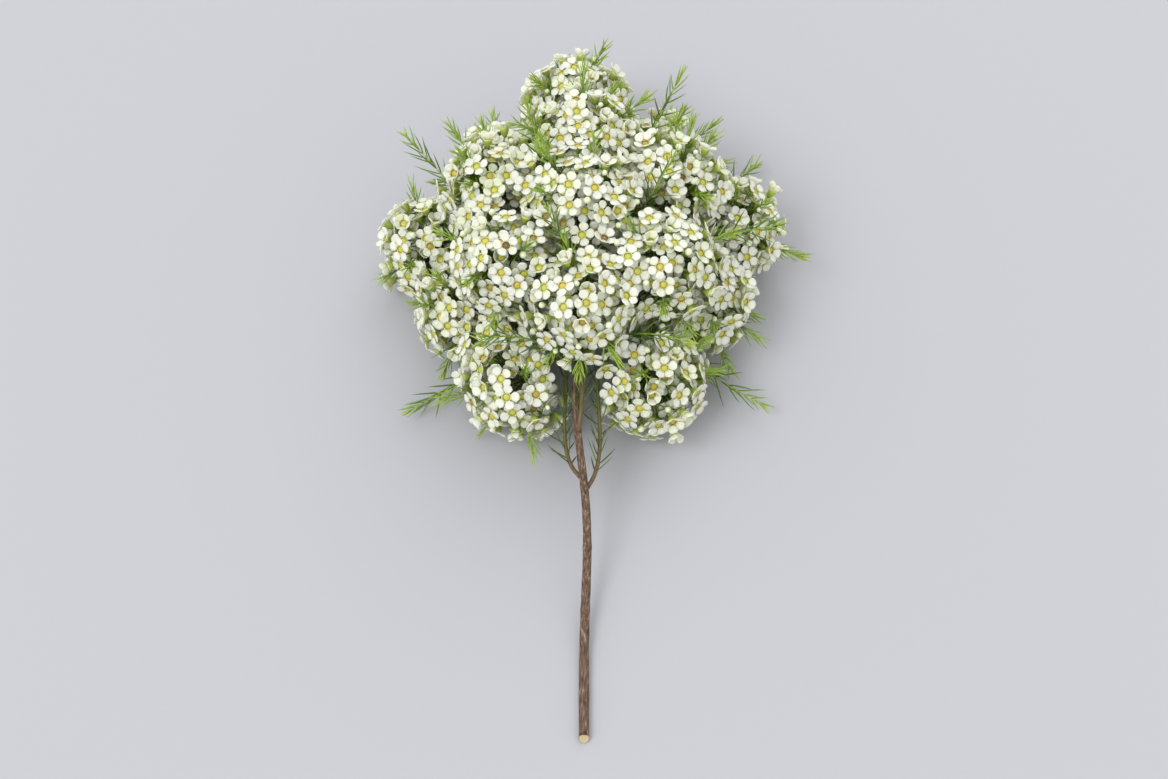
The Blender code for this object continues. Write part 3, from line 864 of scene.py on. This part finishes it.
def cap_rays(count, hub, rng):
    """Directions spread evenly over the cap of a head by the golden angle."""
    facing = frame_along(facing_of(hub))
    start = rng.uniform(0, math.tau)
    rays = []
    for index in range(count):
        height = 1 - (index + 0.5) / count * (1 - math.cos(HEAD_CAP_ANGLE))
        ring = math.sqrt(max(1 - height * height, 0))
        turn = start + index * GOLDEN_ANGLE
        rays.append(facing @ Vector((ring * math.cos(turn), ring * math.sin(turn), height)))
    return rays


def blend_at(point, hubs):
    """Distance to the heads blended into one mass, and its outward direction."""
    reaches = [point - hub for hub in hubs]
    closest = min(reach.length for reach in reaches)
    weights = [math.exp((closest - reach.length) / HEAD_BLEND) for reach in reaches]
    outward = Vector()
    for weight, reach in zip(weights, reaches):
        outward += reach.normalized() * weight
    return closest - HEAD_BLEND * math.log(sum(weights)), outward.normalized()


def surface_on(hub, ray, hubs):
    """Place and direction where a ray leaves the blended mass, on this head's own side."""
    lump = noise.noise(ray * LUMP_SCALE + hub * LUMP_SHIFT)
    growth = noise.noise(hub * SIZE_SHIFT)
    size = HEAD_RADIUS * (1 + HEAD_LUMP * lump + HEAD_RADIUS_SPREAD * growth)
    reach = size * SEARCH_START
    while reach < size + FARTHEST_BLEND:
        point = hub + ray * reach
        distance, outward = blend_at(point, hubs)
        if distance >= size:
            return (point, outward) if nearest(point, hubs) == hub else None
        reach += SEARCH_STEP
    return None


def has_room(place, green):
    """Whether a flower stays above the surface and misses leaves and twigs."""
    centre = place.translation
    upward = min(max(place.to_3x3().col[2].z, -1), 1)
    lowest = centre.z - FLOWER_RIM * math.sqrt(1 - upward**2) + FLOWER_HEIGHT * min(upward, 0)
    if lowest < CLEARANCE:
        return False
    back = place.inverted()
    for point, _, _ in green.find_range(centre, FLOWER_REACH):
        local = back @ point
        if -CUP_DEPTH < local.z < PETAL_ROOM:
            share = min(max((local.z + CUP_DEPTH) / CUP_DEPTH, CUP_FOOT_SHARE), 1)
            if local.xy.length < FLOWER_ROOM * share:
                return False
    return True


def head_flowers(hub, hubs, green, taken, rng):
    """Placements of a head's flowers, kept apart from those of every head."""
    for (deepest, highest), spacing, layer in FLOWER_LAYERS:
        rays = cap_rays(FLOWER_TRIES, hub, rng)
        rng.shuffle(rays)
        for ray in rays:
            found = surface_on(hub, ray, hubs)
            if found is None:
                continue
            surface, outward = found
            stand = rng.uniform(deepest, highest) * MM
            if rng.random() < STRAY_SHARE:
                stand += STRAY_STAND
            lean = scatter(rng) * math.sin(FLOWER_TILT)
            turned = frame_along((outward + lean).normalized(), rng.uniform(0, math.tau))
            for sink in FLOWER_SINK:
                spot = surface + outward * (stand - sink * MM)
                place = Matrix.Translation(spot) @ turned
                if not crowded(spot, taken, spacing * MM) and has_room(place, green):
                    taken.append(spot)
                    yield place, layer
                    break


def gap_flowers(hub, hubs, gaps, green, taken, rng):
    """Placements of the deeper flowers that a head holds in the gaps next to it."""
    for centre, outward in gaps:
        plane = frame_along(outward)
        for _ in range(GAP_FLOWER_TRIES):
            turn = rng.uniform(0, math.tau)
            off = rng.uniform(0, 1) ** 0.5 * GAP_FLOWER_SPREAD
            spot = centre + plane @ Vector((math.cos(turn) * off, math.sin(turn) * off, 0))
            spot -= outward * rng.uniform(*GAP_FLOWER_DEPTH) * MM
            if nearest(spot, hubs) != hub or (spot - hub).length < HEAD_RADIUS - GAP_FLOWER_INSET:
                continue
            if crowded(spot, taken, GAP_FLOWER_SPACING):
                continue
            facing = outward + (spot - hub).normalized() * GAP_FLOWER_TURN
            facing += scatter(rng) * GAP_FLOWER_TILT
            place = Matrix.Translation(spot) @ frame_along(facing.normalized(), turn)
            if has_room(place, green):
                taken.append(spot)
                yield place, "deep_"


def gap_twig(hub, centre, outward, rng):
    """Path of a leafy twig from a head into the gap next to it."""
    ray = (centre - hub).normalized()
    foot = hub + ray * BRANCHLET_REACH
    tip = centre - ray * rng.uniform(*GAP_TWIG_SHORT) * MM
    tip -= outward * rng.uniform(*GAP_TWIG_DEPTH) * MM
    middle = (foot + tip) / 2 - outward * GAP_TWIG_SAG
    return points_on((foot, middle, middle, tip), LEAFY_TWIG_KNOTS)


def bud_places(hub, hubs, taken, rng):
    """The emptiest places on a head, for its buds."""
    spots = []
    for ray in cap_rays(BUD_TRIES, hub, rng):
        found = surface_on(hub, ray, hubs)
        if found is not None and found[0].z > BUD_FLOOR_ROOM:
            spots.append((found[0] - found[1] * rng.uniform(*BUD_DEPTH) * MM, found[1]))
    for _ in range(min(BUDS_PER_HEAD, len(spots))):
        spot = max(spots, key=lambda item: min((item[0] - other).length for other in taken))
        taken.append(spot[0])
        yield spot


def head_tips(hub, hubs, used, rng):
    """Paths of the short leafy shoots that stand out between the flowers of a head."""
    rays = cap_rays(TIP_TRIES, hub, rng)
    rng.shuffle(rays)
    tips = []
    for ray in rays:
        found = surface_on(hub, ray, hubs)
        if found is None or found[0].z < TIP_FLOOR_ROOM or len(tips) == TIPS_PER_HEAD:
            continue
        surface, outward = found
        if crowded(surface, used, TIP_SPACING):
            continue
        used.append(surface)
        foot = hub + ray * BRANCHLET_REACH
        tip = surface + outward * rng.uniform(*TIP_STAND) * MM
        middle = (foot + tip) / 2 + scatter(rng) * TIP_BEND
        tips.append(points_on((foot, middle, middle, tip), LEAFY_TWIG_KNOTS))
    return tips


def add_leafy_twig(shape, path, spacing, lime, stock, rng):
    """One short leafy twig, its needles crowded towards its tip."""
    count = len(path)
    radii = lerp_list(SHOOT_TIP_RADIUS, SHOOT_TIP_RADIUS * LEAFY_TWIG_TAPER, count)
    tones = tones_along(count, (lime, lime + LEAFY_TWIG_LIMING), LEAFY_TWIG_WOODS)
    add_tube(shape, tube(path, radii, LEAFY_TWIG_SIDES, tones), LEAF_INDEX)
    rows = leaf_rows(path, LEAFY_TWIG_START, spacing, LEAFY_TWIG_TIP_LEAF, rng)
    for foot, tip, heading, share, _ in rows:
        tip = foot + (tip - foot) * LEAFY_TWIG_LEAF
        if min(foot.z, tip.z) > LEAF_FLOOR_ROOM:
            shade = lime + LEAFY_TWIG_LIMING * share
            shade += rng.uniform(-LEAFY_TWIG_LIME_SPREAD, LEAFY_TWIG_LIME_SPREAD)
            curved_leaf(shape, foot, tip, heading, min(max(shade, 0), 1), stock, rng)


def add_stalk(shape, ends, foot, stock, rng):
    """A thin stalk from the nearest branchlet to the foot of a flower or bud."""
    root = nearest(foot, ends)
    if (root - foot).length > SHORTEST_STALK:
        stalk = rng.choice(stock["stalks"])
        stamp(shape, stalk, between(root, foot, rng.uniform(0, math.tau)))


def add_branchlets(under, hub, stock, rng):
    """The head's own stalk and its short branchlets, and where those end."""
    facing = facing_of(hub)
    fork = hub - facing * BRANCHLET_FOOT
    place = between(hub - facing * HEAD_BACK, fork, 0)
    place @= Matrix.Diagonal((HEAD_STALK_WIDTH, HEAD_STALK_WIDTH, 1, 1))
    stamp(under, stock["stalks"][0], place, *HEAD_STALK_TONE)
    ends = [
        hub + ray * BRANCHLET_REACH * rng.uniform(*BRANCHLET_SPREAD)
        for ray in cap_rays(BRANCHLETS, hub, rng)
    ]
    for end in ends:
        place = between(fork, end, rng.uniform(0, math.tau))
        place @= Matrix.Diagonal((BRANCHLET_WIDTH, BRANCHLET_WIDTH, 1, 1))
        stamp(under, rng.choice(stock["stalks"]), place, *BRANCHLET_TONE)
    return ends


def add_flower(white, under, place, layer, ends, stock, rng):
    """One flower: its petals, its cup with a disc of some age, and its stalk."""
    kind = rng.choices(list(PETAL_LIFTS), weights=KIND_WEIGHTS)[0]
    stamp(white, rng.choice(stock[layer + kind]), place, rng.random(), 0)
    ages = [rng.uniform(*span) for span in DISC_AGES]
    age = rng.choices(ages, weights=DISC_AGE_WEIGHTS)[0]
    stamp(under, stock[layer + "cup"], place, age, rng.random())
    add_stalk(under, ends, place @ Vector((0, 0, STALK_OVERLAP - CUP_DEPTH)), stock, rng)


def add_bud(white, under, spot, outward, ends, stock, rng):
    """One bud with its small cup and its stalk."""
    place = Matrix.Translation(spot) @ frame_along(outward)
    place @= Matrix.Scale(rng.uniform(*BUD_SIZES), 4)
    stamp(white, stock["bud"], place, rng.random(), rng.uniform(*BUD_WHITES))
    stamp(under, stock["bud_cup"], place, 0, rng.random())
    foot = STALK_OVERLAP - BUD_CUP_DROP - BUD_CUP_DEPTH / 2
    add_stalk(under, ends, place @ Vector((0, 0, foot)), stock, rng)


def add_inner_leaves(under, hub, hubs, stock, rng):
    """Needles that stand between a head's flowers."""
    for ray in cap_rays(INNER_LEAVES, hub, rng):
        found = surface_on(hub, ray, hubs)
        if found is None:
            continue
        surface, outward = found
        foot = hub + ray * rng.uniform(*INNER_LEAF_FOOT) * MM
        tip = surface + scatter(rng) * INNER_LEAF_WANDER
        tip -= outward * rng.uniform(*INNER_LEAF_DEPTH) * MM
        if tip.z > LEAF_FLOOR_ROOM:
            curved_leaf(under, foot, tip, outward, rng.uniform(*INNER_LEAF_LIMES), stock, rng)


def build_head(number, hub, hubs, tips, gaps, green, taken, stock, rng):
    """Two pieces: white petals and buds, and the green of cups, stalks, twigs and needles."""
    white = bmesh.new()
    under = bmesh.new()
    ends = add_branchlets(under, hub, stock, rng)
    near = [gap for gap in gaps if (gap[0] - hub).length < GAP_REACH * GAP_SHARE]
    flowers = chain(
        head_flowers(hub, hubs, green, taken, rng), gap_flowers(hub, hubs, near, green, taken, rng)
    )
    for place, layer in flowers:
        add_flower(white, under, place, layer, ends, stock, rng)
    for path in tips:
        add_leafy_twig(under, path, TIP_LEAF_STEP, TIP_LIME, stock, rng)
    for centre, outward in near:
        path = gap_twig(hub, centre, outward, rng)
        lime = rng.uniform(*GAP_TWIG_LIMES)
        add_leafy_twig(under, path, GAP_TWIG_LEAF_STEP, lime, stock, rng)
    for spot, outward in bud_places(hub, hubs, taken, rng):
        add_bud(white, under, spot, outward, ends, stock, rng)
    add_inner_leaves(under, hub, hubs, stock, rng)

    petals = as_piece(white, f"head_{number:02d}_petals", [stock["petal_finish"]])
    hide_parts(f"flower_head_{number:02d}")
    finishes = [stock["cup_finish"], stock["leaf_finish"]]
    as_piece(under, f"head_{number:02d}_cups", finishes)


def placed(name, data):
    """An object in the scene that holds this data."""
    thing = bpy.data.objects.new(name, data)
    bpy.context.scene.collection.objects.link(thing)
    return thing


def as_piece(shape, name, finishes):
    """An object at the origin that rides on the stem and takes its finish from this slot."""
    piece = placed(name, finished(shape, name, 0 if len(finishes) == 1 else None))
    for finish in finishes:
        piece.data.materials.append(finish)
    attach(piece, "root")
    return piece


def build_branch(number, bend, shoots, hubs, stock, rng):
    """One side branch with its twig, leafy shoots and needles; gives where its needles are."""
    shape = bmesh.new()
    points = points_on(bend, TWIG_KNOTS)
    root = points[0] - (points[1] - points[0]).normalized() * TWIG_ROOT
    radii = lerp_list(TWIG_RADIUS * TWIG_FOOT_WIDTH, TWIG_TIP_RADIUS, TWIG_KNOTS)
    radii = [TWIG_RADIUS * TWIG_ROOT_WIDTH, *radii]
    tones = [TWIG_ROOT_TONE, *tones_along(TWIG_KNOTS, TWIG_LIMES, TWIG_WOODS)]
    add_tube(shape, tube([root, *points], radii, TWIG_SIDES, tones))
    leaves = leaf_rows(points, TWIG_LEAF_START, TWIG_LEAF_STEP, TWIG_TIP_LEAF, rng)
    rows = [(*leaf, 0) for leaf in leaves]
    for shoot in shoots:
        points = points_on(shoot, SHOOT_KNOTS)
        radii = lerp_list(SHOOT_RADIUS, SHOOT_TIP_RADIUS * SHOOT_TAPER, SHOOT_KNOTS)
        tones = tones_along(SHOOT_KNOTS, SHOOT_LIMES, SHOOT_WOODS)
        add_tube(shape, tube(points, radii, TWIG_SIDES, tones))
        leaves = leaf_rows(points, SHOOT_LEAF_START, SHOOT_LEAF_STEP, SHOOT_TIP_LEAF, rng)
        rows += [(*leaf, 1) for leaf in leaves]
    needles = []
    for foot, tip, heading, share, youth, on_shoot in rows:
        clear = foot.lerp(tip, LEAF_CLEAR_SHARE)
        if min(clear.z, tip.z) < LEAF_LOWEST:
            continue
        if any(distance_to_segment(hub, clear, tip) < LEAF_ROOM for hub in hubs):
            continue
        lime = LEAF_LIME + on_shoot * (SHOOT_LIMING * share + YOUTH_LIMING * youth)
        lime += rng.uniform(*LEAF_LIME_SPREAD)
        curved_leaf(shape, foot, tip, heading, lime, stock, rng)
        needles.append((foot, tip))
    piece = as_piece(shape, f"branch_{number:02d}", [stock["leaf_finish"]])
    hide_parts(f"side_branch_{number:02d}")
    return needles


def add_tube(shape, other, finish=0):
    """Join a tube in this finish to a shape that is under way."""
    mesh = finished(other, "tube", finish)
    shape.from_mesh(mesh)
    bpy.data.meshes.remove(mesh)


def build_main_stem(stock):
    """The woody stem: rough bark, leaf scars, and a slanting pale cut at the foot."""
    lengths = lerp_list(STEM_FOOT, STEM_TOP, STEM_RINGS)
    points = [stem_point(length) for length in lengths]
    swells = [STEM_SWELL * wander(length * SWELLS_PER_METRE, lane=3) for length in lengths]
    radii = [stem_radius(length) * (1 + swell) for length, swell in zip(lengths, swells)]
    shape = tube(points, radii, STEM_RING_SIDES, tones_along(STEM_RINGS))
    tone = shape.verts.layers.float_color["tone"]
    for vertex in shape.verts:
        out = vertex.co - stem_point(vertex.co.y)
        ridge = noise.noise(vertex.co * Vector(RIDGE_SCALE))
        knot = (vertex.co.y + SCAR_DRIFT * wander(vertex.co.y * DRIFTS_PER_METRE)) / SCAR_SPACING
        scar = math.exp(-(((knot % 1) - 0.5) * SCAR_SHARPNESS) ** 2)
        vertex.co += out.normalized() * (ridge * RIDGE_HEIGHT + scar * SCAR_HEIGHT)
        if vertex.co.y < CLIMB_END / 2:
            vertex.co.z = max(vertex.co.z, 0)
    cut = min(shape.faces, key=lambda face: face.calc_center_median().y)
    for vertex in cut.verts:
        vertex.co.y += vertex.co.z * CUT_SLANT
    bmesh.ops.inset_region(shape, faces=[cut], thickness=BARK_THICKNESS, use_even_offset=True)
    for vertex in cut.verts:
        vertex[tone] = (0, 0, 1, 1)
    piece = as_piece(shape, "woody_stem", [stock["bark_finish"]])
    for polygon in piece.data.polygons:
        if polygon.normal.y < CUT_NORMAL:
            polygon.use_smooth = False
    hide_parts("main_stem")


def new_material(name):
    """A node material, its shader and its tone channels."""
    material = bpy.data.materials.new(name)
    material.use_nodes = True
    nodes = material.node_tree.nodes
    tone = nodes.new("ShaderNodeAttribute")
    tone.attribute_name = "tone"
    parts = nodes.new("ShaderNodeSeparateColor")
    material.node_tree.links.new(tone.outputs["Color"], parts.inputs["Color"])
    return material, nodes["Principled BSDF"], parts.outputs


def ramp(material, value, stops):
    """Colours along a value, each stop a place and a colour."""
    node = material.node_tree.nodes.new("ShaderNodeValToRGB")
    elements = node.color_ramp.elements
    while len(elements) < len(stops):
        elements.new(0.5)
    for element, (place, colour) in zip(elements, stops):
        element.position = place
        element.color = (*colour, 1)
    material.node_tree.links.new(value, node.inputs["Fac"])
    return node.outputs["Color"]


def mix(material, share, first, second, blend="MIX"):
    """Blend two colours or sockets by a share, which may be a socket too."""
    node = material.node_tree.nodes.new("ShaderNodeMix")
    node.data_type = "RGBA"
    node.blend_type = blend
    for socket, value in (("Factor", share), ("A", first), ("B", second)):
        found = [item for item in node.inputs if item.name == socket and item.enabled][0]
        if isinstance(value, bpy.types.NodeSocket):
            material.node_tree.links.new(value, found)
        elif isinstance(value, tuple):
            found.default_value = (*value, 1)
        else:
            found.default_value = value
    return [item for item in node.outputs if item.enabled][0]


def fine_noise(material, scale, detail, stretch=(1, 1, 1)):
    """A noise on Object coordinates, stretched along the axes."""
    nodes = material.node_tree.nodes
    links = material.node_tree.links
    place = nodes.new("ShaderNodeTexCoord")
    mapping = nodes.new("ShaderNodeMapping")
    mapping.inputs["Scale"].default_value = stretch
    grain = nodes.new("ShaderNodeTexNoise")
    grain.inputs["Scale"].default_value = scale
    grain.inputs["Detail"].default_value = detail
    links.new(place.outputs["Object"], mapping.inputs["Vector"])
    links.new(mapping.outputs["Vector"], grain.inputs["Vector"])
    return grain.outputs["Fac"]


def shaded(material, colour, value, stops):
    """The colour multiplied by the colours along a value."""
    return mix(material, 1.0, colour, ramp(material, value, stops), "MULTIPLY")


def set_surface(material, shader, colour, roughness, height, strength, distance):
    """Give the shader its colour and roughness, and its bump from a height."""
    links = material.node_tree.links
    links.new(colour, shader.inputs["Base Color"])
    shader.inputs["Roughness"].default_value = roughness
    bump = material.node_tree.nodes.new("ShaderNodeBump")
    bump.inputs["Strength"].default_value = strength
    bump.inputs["Distance"].default_value = distance
    links.new(height, bump.inputs["Height"])
    links.new(bump.outputs["Normal"], shader.inputs["Normal"])


def petal_finish():
    """Waxy white petals, greenish at the claw, and creamy green buds."""
    material, shader, tone = new_material("waxy_petal")
    colour = ramp(
        material,
        tone["Green"],
        (
            (0.0, (0.66, 0.70, 0.36)),
            (0.16, (0.86, 0.875, 0.66)),
            (0.45, (0.88, 0.905, 0.765)),
            (0.85, (0.885, 0.905, 0.78)),
            (1.0, (0.86, 0.885, 0.73)),
        ),
    )
    colour = shaded(
        material,
        colour,
        tone["Red"],
        (
            (0.0, (1.0, 1.0, 1.0)),
            (0.55, (0.99, 0.995, 0.955)),
            (0.9, (0.95, 0.96, 0.87)),
            (1.0, (0.91, 0.93, 0.80)),
        ),
    )
    colour = mix(material, tone["Blue"], colour, (0.80, 0.84, 0.62))
    grain = fine_noise(material, 900, 3)
    colour = shaded(material, colour, grain, ((0.3, (0.93, 0.935, 0.92)), (0.7, (1.0, 1.0, 1.0))))
    set_surface(material, shader, colour, 0.42, grain, 0.25, 0.4 * MM)
    shader.inputs["Subsurface Weight"].default_value = 0.5
    shader.inputs["Subsurface Radius"].default_value = (1.0, 1.0, 0.6)
    shader.inputs["Subsurface Scale"].default_value = 1.2 * MM
    return material


def cup_finish():
    """Green calyx, cream rim, and a disc that browns with age, in a ring of painted shade."""
    material, shader, tone = new_material("calyx_and_disc")
    disc = ramp(
        material,
        tone["Red"],
        (
            (0.0, (0.52, 0.56, 0.06)),
            (0.3, (0.62, 0.55, 0.07)),
            (0.6, (0.54, 0.42, 0.05)),
            (0.8, (0.35, 0.23, 0.05)),
            (1.0, (0.17, 0.10, 0.04)),
        ),
    )
    outside = ramp(
        material,
        tone["Green"],
        (
            (0.0, (0.17, 0.27, 0.03)),
            (0.3, (0.38, 0.48, 0.07)),
            (0.45, (0.68, 0.70, 0.30)),
            (0.55, (0.84, 0.83, 0.56)),
            (0.64, (0.80, 0.78, 0.42)),
        ),
    )
    inside = ramp(material, tone["Green"], ((0.64, (0, 0, 0)), (0.72, (1, 1, 1))))
    colour = mix(material, inside, outside, disc)
    # Painted shade darkens the sunk ring round the disc, and the raised middle of the disc is made
    # lighter.
    colour = shaded(
        material,
        colour,
        tone["Green"],
        (
            (0.66, (1, 1, 1)),
            (0.76, (0.42, 0.44, 0.5)),
            (0.9, (1.15, 1.12, 1.1)),
        ),
    )
    grain = fine_noise(material, 1500, 2)
    colour = shaded(material, colour, grain, ((0.3, (0.8, 0.8, 0.76)), (0.7, (1.08, 1.08, 1.05))))
    set_surface(material, shader, colour, 0.36, grain, 0.3, 0.3 * MM)
    return material


def leaf_finish():
    """Needles and twigs from deep to lime green, reddish brown where they are woody."""
    material, shader, tone = new_material("needle_leaf")
    leaf = ramp(
        material,
        tone["Red"],
        (
            (0.0, (0.045, 0.09, 0.018)),
            (0.35, (0.11, 0.195, 0.032)),
            (0.65, (0.22, 0.35, 0.045)),
            (1.0, (0.42, 0.57, 0.08)),
        ),
    )
    colour = mix(material, tone["Blue"], leaf, (0.155, 0.075, 0.04))
    grain = fine_noise(material, 700, 3)
    colour = shaded(material, colour, grain, ((0.3, (0.78, 0.8, 0.75)), (0.7, (1.12, 1.12, 1.05))))
    set_surface(material, shader, colour, 0.42, grain, 0.3, 0.4 * MM)
    return material


def bark_finish():
    """Fibrous grey-brown bark, plainer towards the tip, and pale cut wood."""
    material, shader, tone = new_material("stem_bark")
    grain = fine_noise(material, 260, 6, stretch=(3.5, 0.6, 3.5))
    colour = ramp(
        material,
        grain,
        (
            (0.30, (0.045, 0.028, 0.018)),
            (0.45, (0.125, 0.075, 0.045)),
            (0.58, (0.20, 0.13, 0.085)),
            (0.72, (0.36, 0.28, 0.21)),
        ),
    )
    fibre = fine_noise(material, 700, 5, stretch=(2.5, 0.14, 2.5))
    streaks = ((0.38, (0.55, 0.52, 0.5)), (0.62, (1.25, 1.25, 1.25)))
    colour = shaded(material, colour, fibre, streaks)
    young = ramp(material, tone["Green"], ((0.55, (0, 0, 0)), (1.0, (0.75, 0.75, 0.75))))
    colour = mix(material, young, colour, (0.17, 0.085, 0.04))
    colour = mix(material, tone["Blue"], colour, (0.60, 0.50, 0.30))
    set_surface(material, shader, colour, 0.78, fibre, 0.7, 0.8 * MM)
    return material


def floor_finish():
    """The even, matt finish of the floor."""
    material, shader, _ = new_material("pale_floor")
    shader.inputs["Base Color"].default_value = FLOOR_COLOUR
    shader.inputs["Roughness"].default_value = 0.8
    return material


def build_floor():
    """A plain floor that reaches past all that a camera sees."""
    shape = bmesh.new()
    bmesh.ops.create_grid(shape, x_segments=1, y_segments=1, size=FLOOR_SIZE / 2)
    mesh = bpy.data.meshes.new("floor")
    shape.to_mesh(mesh)
    shape.free()
    mesh.materials.append(floor_finish())
    floor = placed("floor", mesh)


def add_sun(name, turn, height, softness, strength):
    """Soft light from far away, so that the whole floor is lit evenly."""
    light = bpy.data.lights.new(name, "SUN")
    light.energy = strength
    light.angle = math.radians(softness)
    placed(name, light).rotation_euler = (math.radians(90 - height), 0, math.radians(turn))


def build_studio():
    """A pale floor under soft light from the sky and two suns."""
    world = bpy.data.worlds.new("studio")
    bpy.context.scene.world = world
    world.use_nodes = True
    background = world.node_tree.nodes["Background"]
    background.inputs["Color"].default_value = SKY_COLOUR
    background.inputs["Strength"].default_value = SKY_STRENGTH
    for sun in SUNS:
        add_sun(*sun)
    build_floor()
    bpy.context.scene.view_settings.view_transform = "Standard"


def build_camera():
    """The camera, looking along the stem from its foot and down at the heads."""
    camera = bpy.data.cameras.new("camera")
    camera.lens = CAMERA_LENS
    camera.clip_start = CAMERA_NEAR
    holder = placed("camera", camera)
    back = Vector((0, -math.cos(CAMERA_TURN), math.sin(CAMERA_TURN)))
    holder.location = CAMERA_TARGET + back * CAMERA_DISTANCE
    holder.rotation_mode = "QUATERNION"
    holder.rotation_quaternion = (-back).to_track_quat("-Z", "Y")
    bpy.context.scene.camera = holder


def build_stock():
    """The templates that are copied many times, and the finishes of the pieces."""
    rng = random.Random(FLOWER_SEED)
    bud, bud_cup = bud_meshes()
    stock = {
        "cup": cup_mesh(STAMENS),
        "deep_cup": cup_mesh(0),
        "deepest_cup": cup_mesh(0),
        "bud": bud,
        "bud_cup": bud_cup,
        "stalks": [stalk_mesh(bow) for bow in STALK_BOWS],
        "leaves": [leaf_mesh(bow) for bow in LEAF_BOWS],
        "petal_finish": petal_finish(),
        "cup_finish": cup_finish(),
        "leaf_finish": leaf_finish(),
        "bark_finish": bark_finish(),
    }
    for layer, grid in PETAL_GRIDS.items():
        cuppings = [rng.uniform(*PETAL_CUPPING) * MM for _ in range(PETAL_SHAPES)]
        petals = [petal_mesh(cupping, seed, grid) for seed, cupping in enumerate(cuppings)]
        for kind, lifts in PETAL_LIFTS.items():
            stock[layer + kind] = [corolla_mesh(petals, math.radians(lift), rng) for lift in lifts]
    return stock


def twigs_to(hubs):
    """The twig to each head that the main stem doesn't carry: its curve and its path."""
    bends = []
    twigs = []
    for hub in hubs:
        if hub != tip_hub():
            earlier = [piece for twig in twigs for piece in pieces_of(twig, TWIG_RADIUS)]
            bends.append(twig_bend(hub, hubs, earlier))
            twigs.append(points_on(bends[-1], TWIG_SECTIONS))
    return bends, twigs


def shoots_from(twigs, hubs, lengths):
    """Curves of the shoots that fork from each twig, clear of the main stem's sections."""
    stem_pieces = [
        (stem_point(low), stem_point(high), stem_radius(low)) for low, high in zip(lengths, lengths[1:])
    ]
    shoots = [[] for _ in twigs]
    for gap in chosen_gaps(hubs):
        found = shoot_through(gap, twigs, hubs, stem_pieces)
        if found:
            shoots[found[0]].append(found[1])
    return shoots


def main():
    """Set the camera and the studio, and dress every solid of the stem."""
    build_camera()
    build_studio()
    stock = build_stock()
    build_main_stem(stock)

    hubs = settle_hubs()
    lengths = [STEM_FOOT, *lerp_list(FLAT_END, STEM_TOP, STEM_SECTIONS - 1)]
    bends, twigs = twigs_to(hubs)
    shoots = shoots_from(twigs, hubs, lengths)
    rng = random.Random(LEAF_SEED)
    paths = []
    for number, (bend, grown) in enumerate(zip(bends, shoots), 1):
        paths += build_branch(number, bend, grown, hubs, stock, rng)
        paths += [points_on(curve, GREEN_KNOTS) for curve in (bend, *grown)]
    paths.append([stem_point(length) for length in lengths])

    rng = random.Random(FLOWER_SEED)
    used = []
    tips = [head_tips(hub, hubs, used, rng) for hub in hubs]
    green = green_tree([*paths, *chain(*tips)])
    gaps = [(centre, outward) for _, centre, outward in gaps_between(hubs)]
    taken = []
    for number, hub in enumerate(hubs, 1):
        build_head(number, hub, hubs, tips[number - 1], gaps, green, taken, stock, rng)


main()
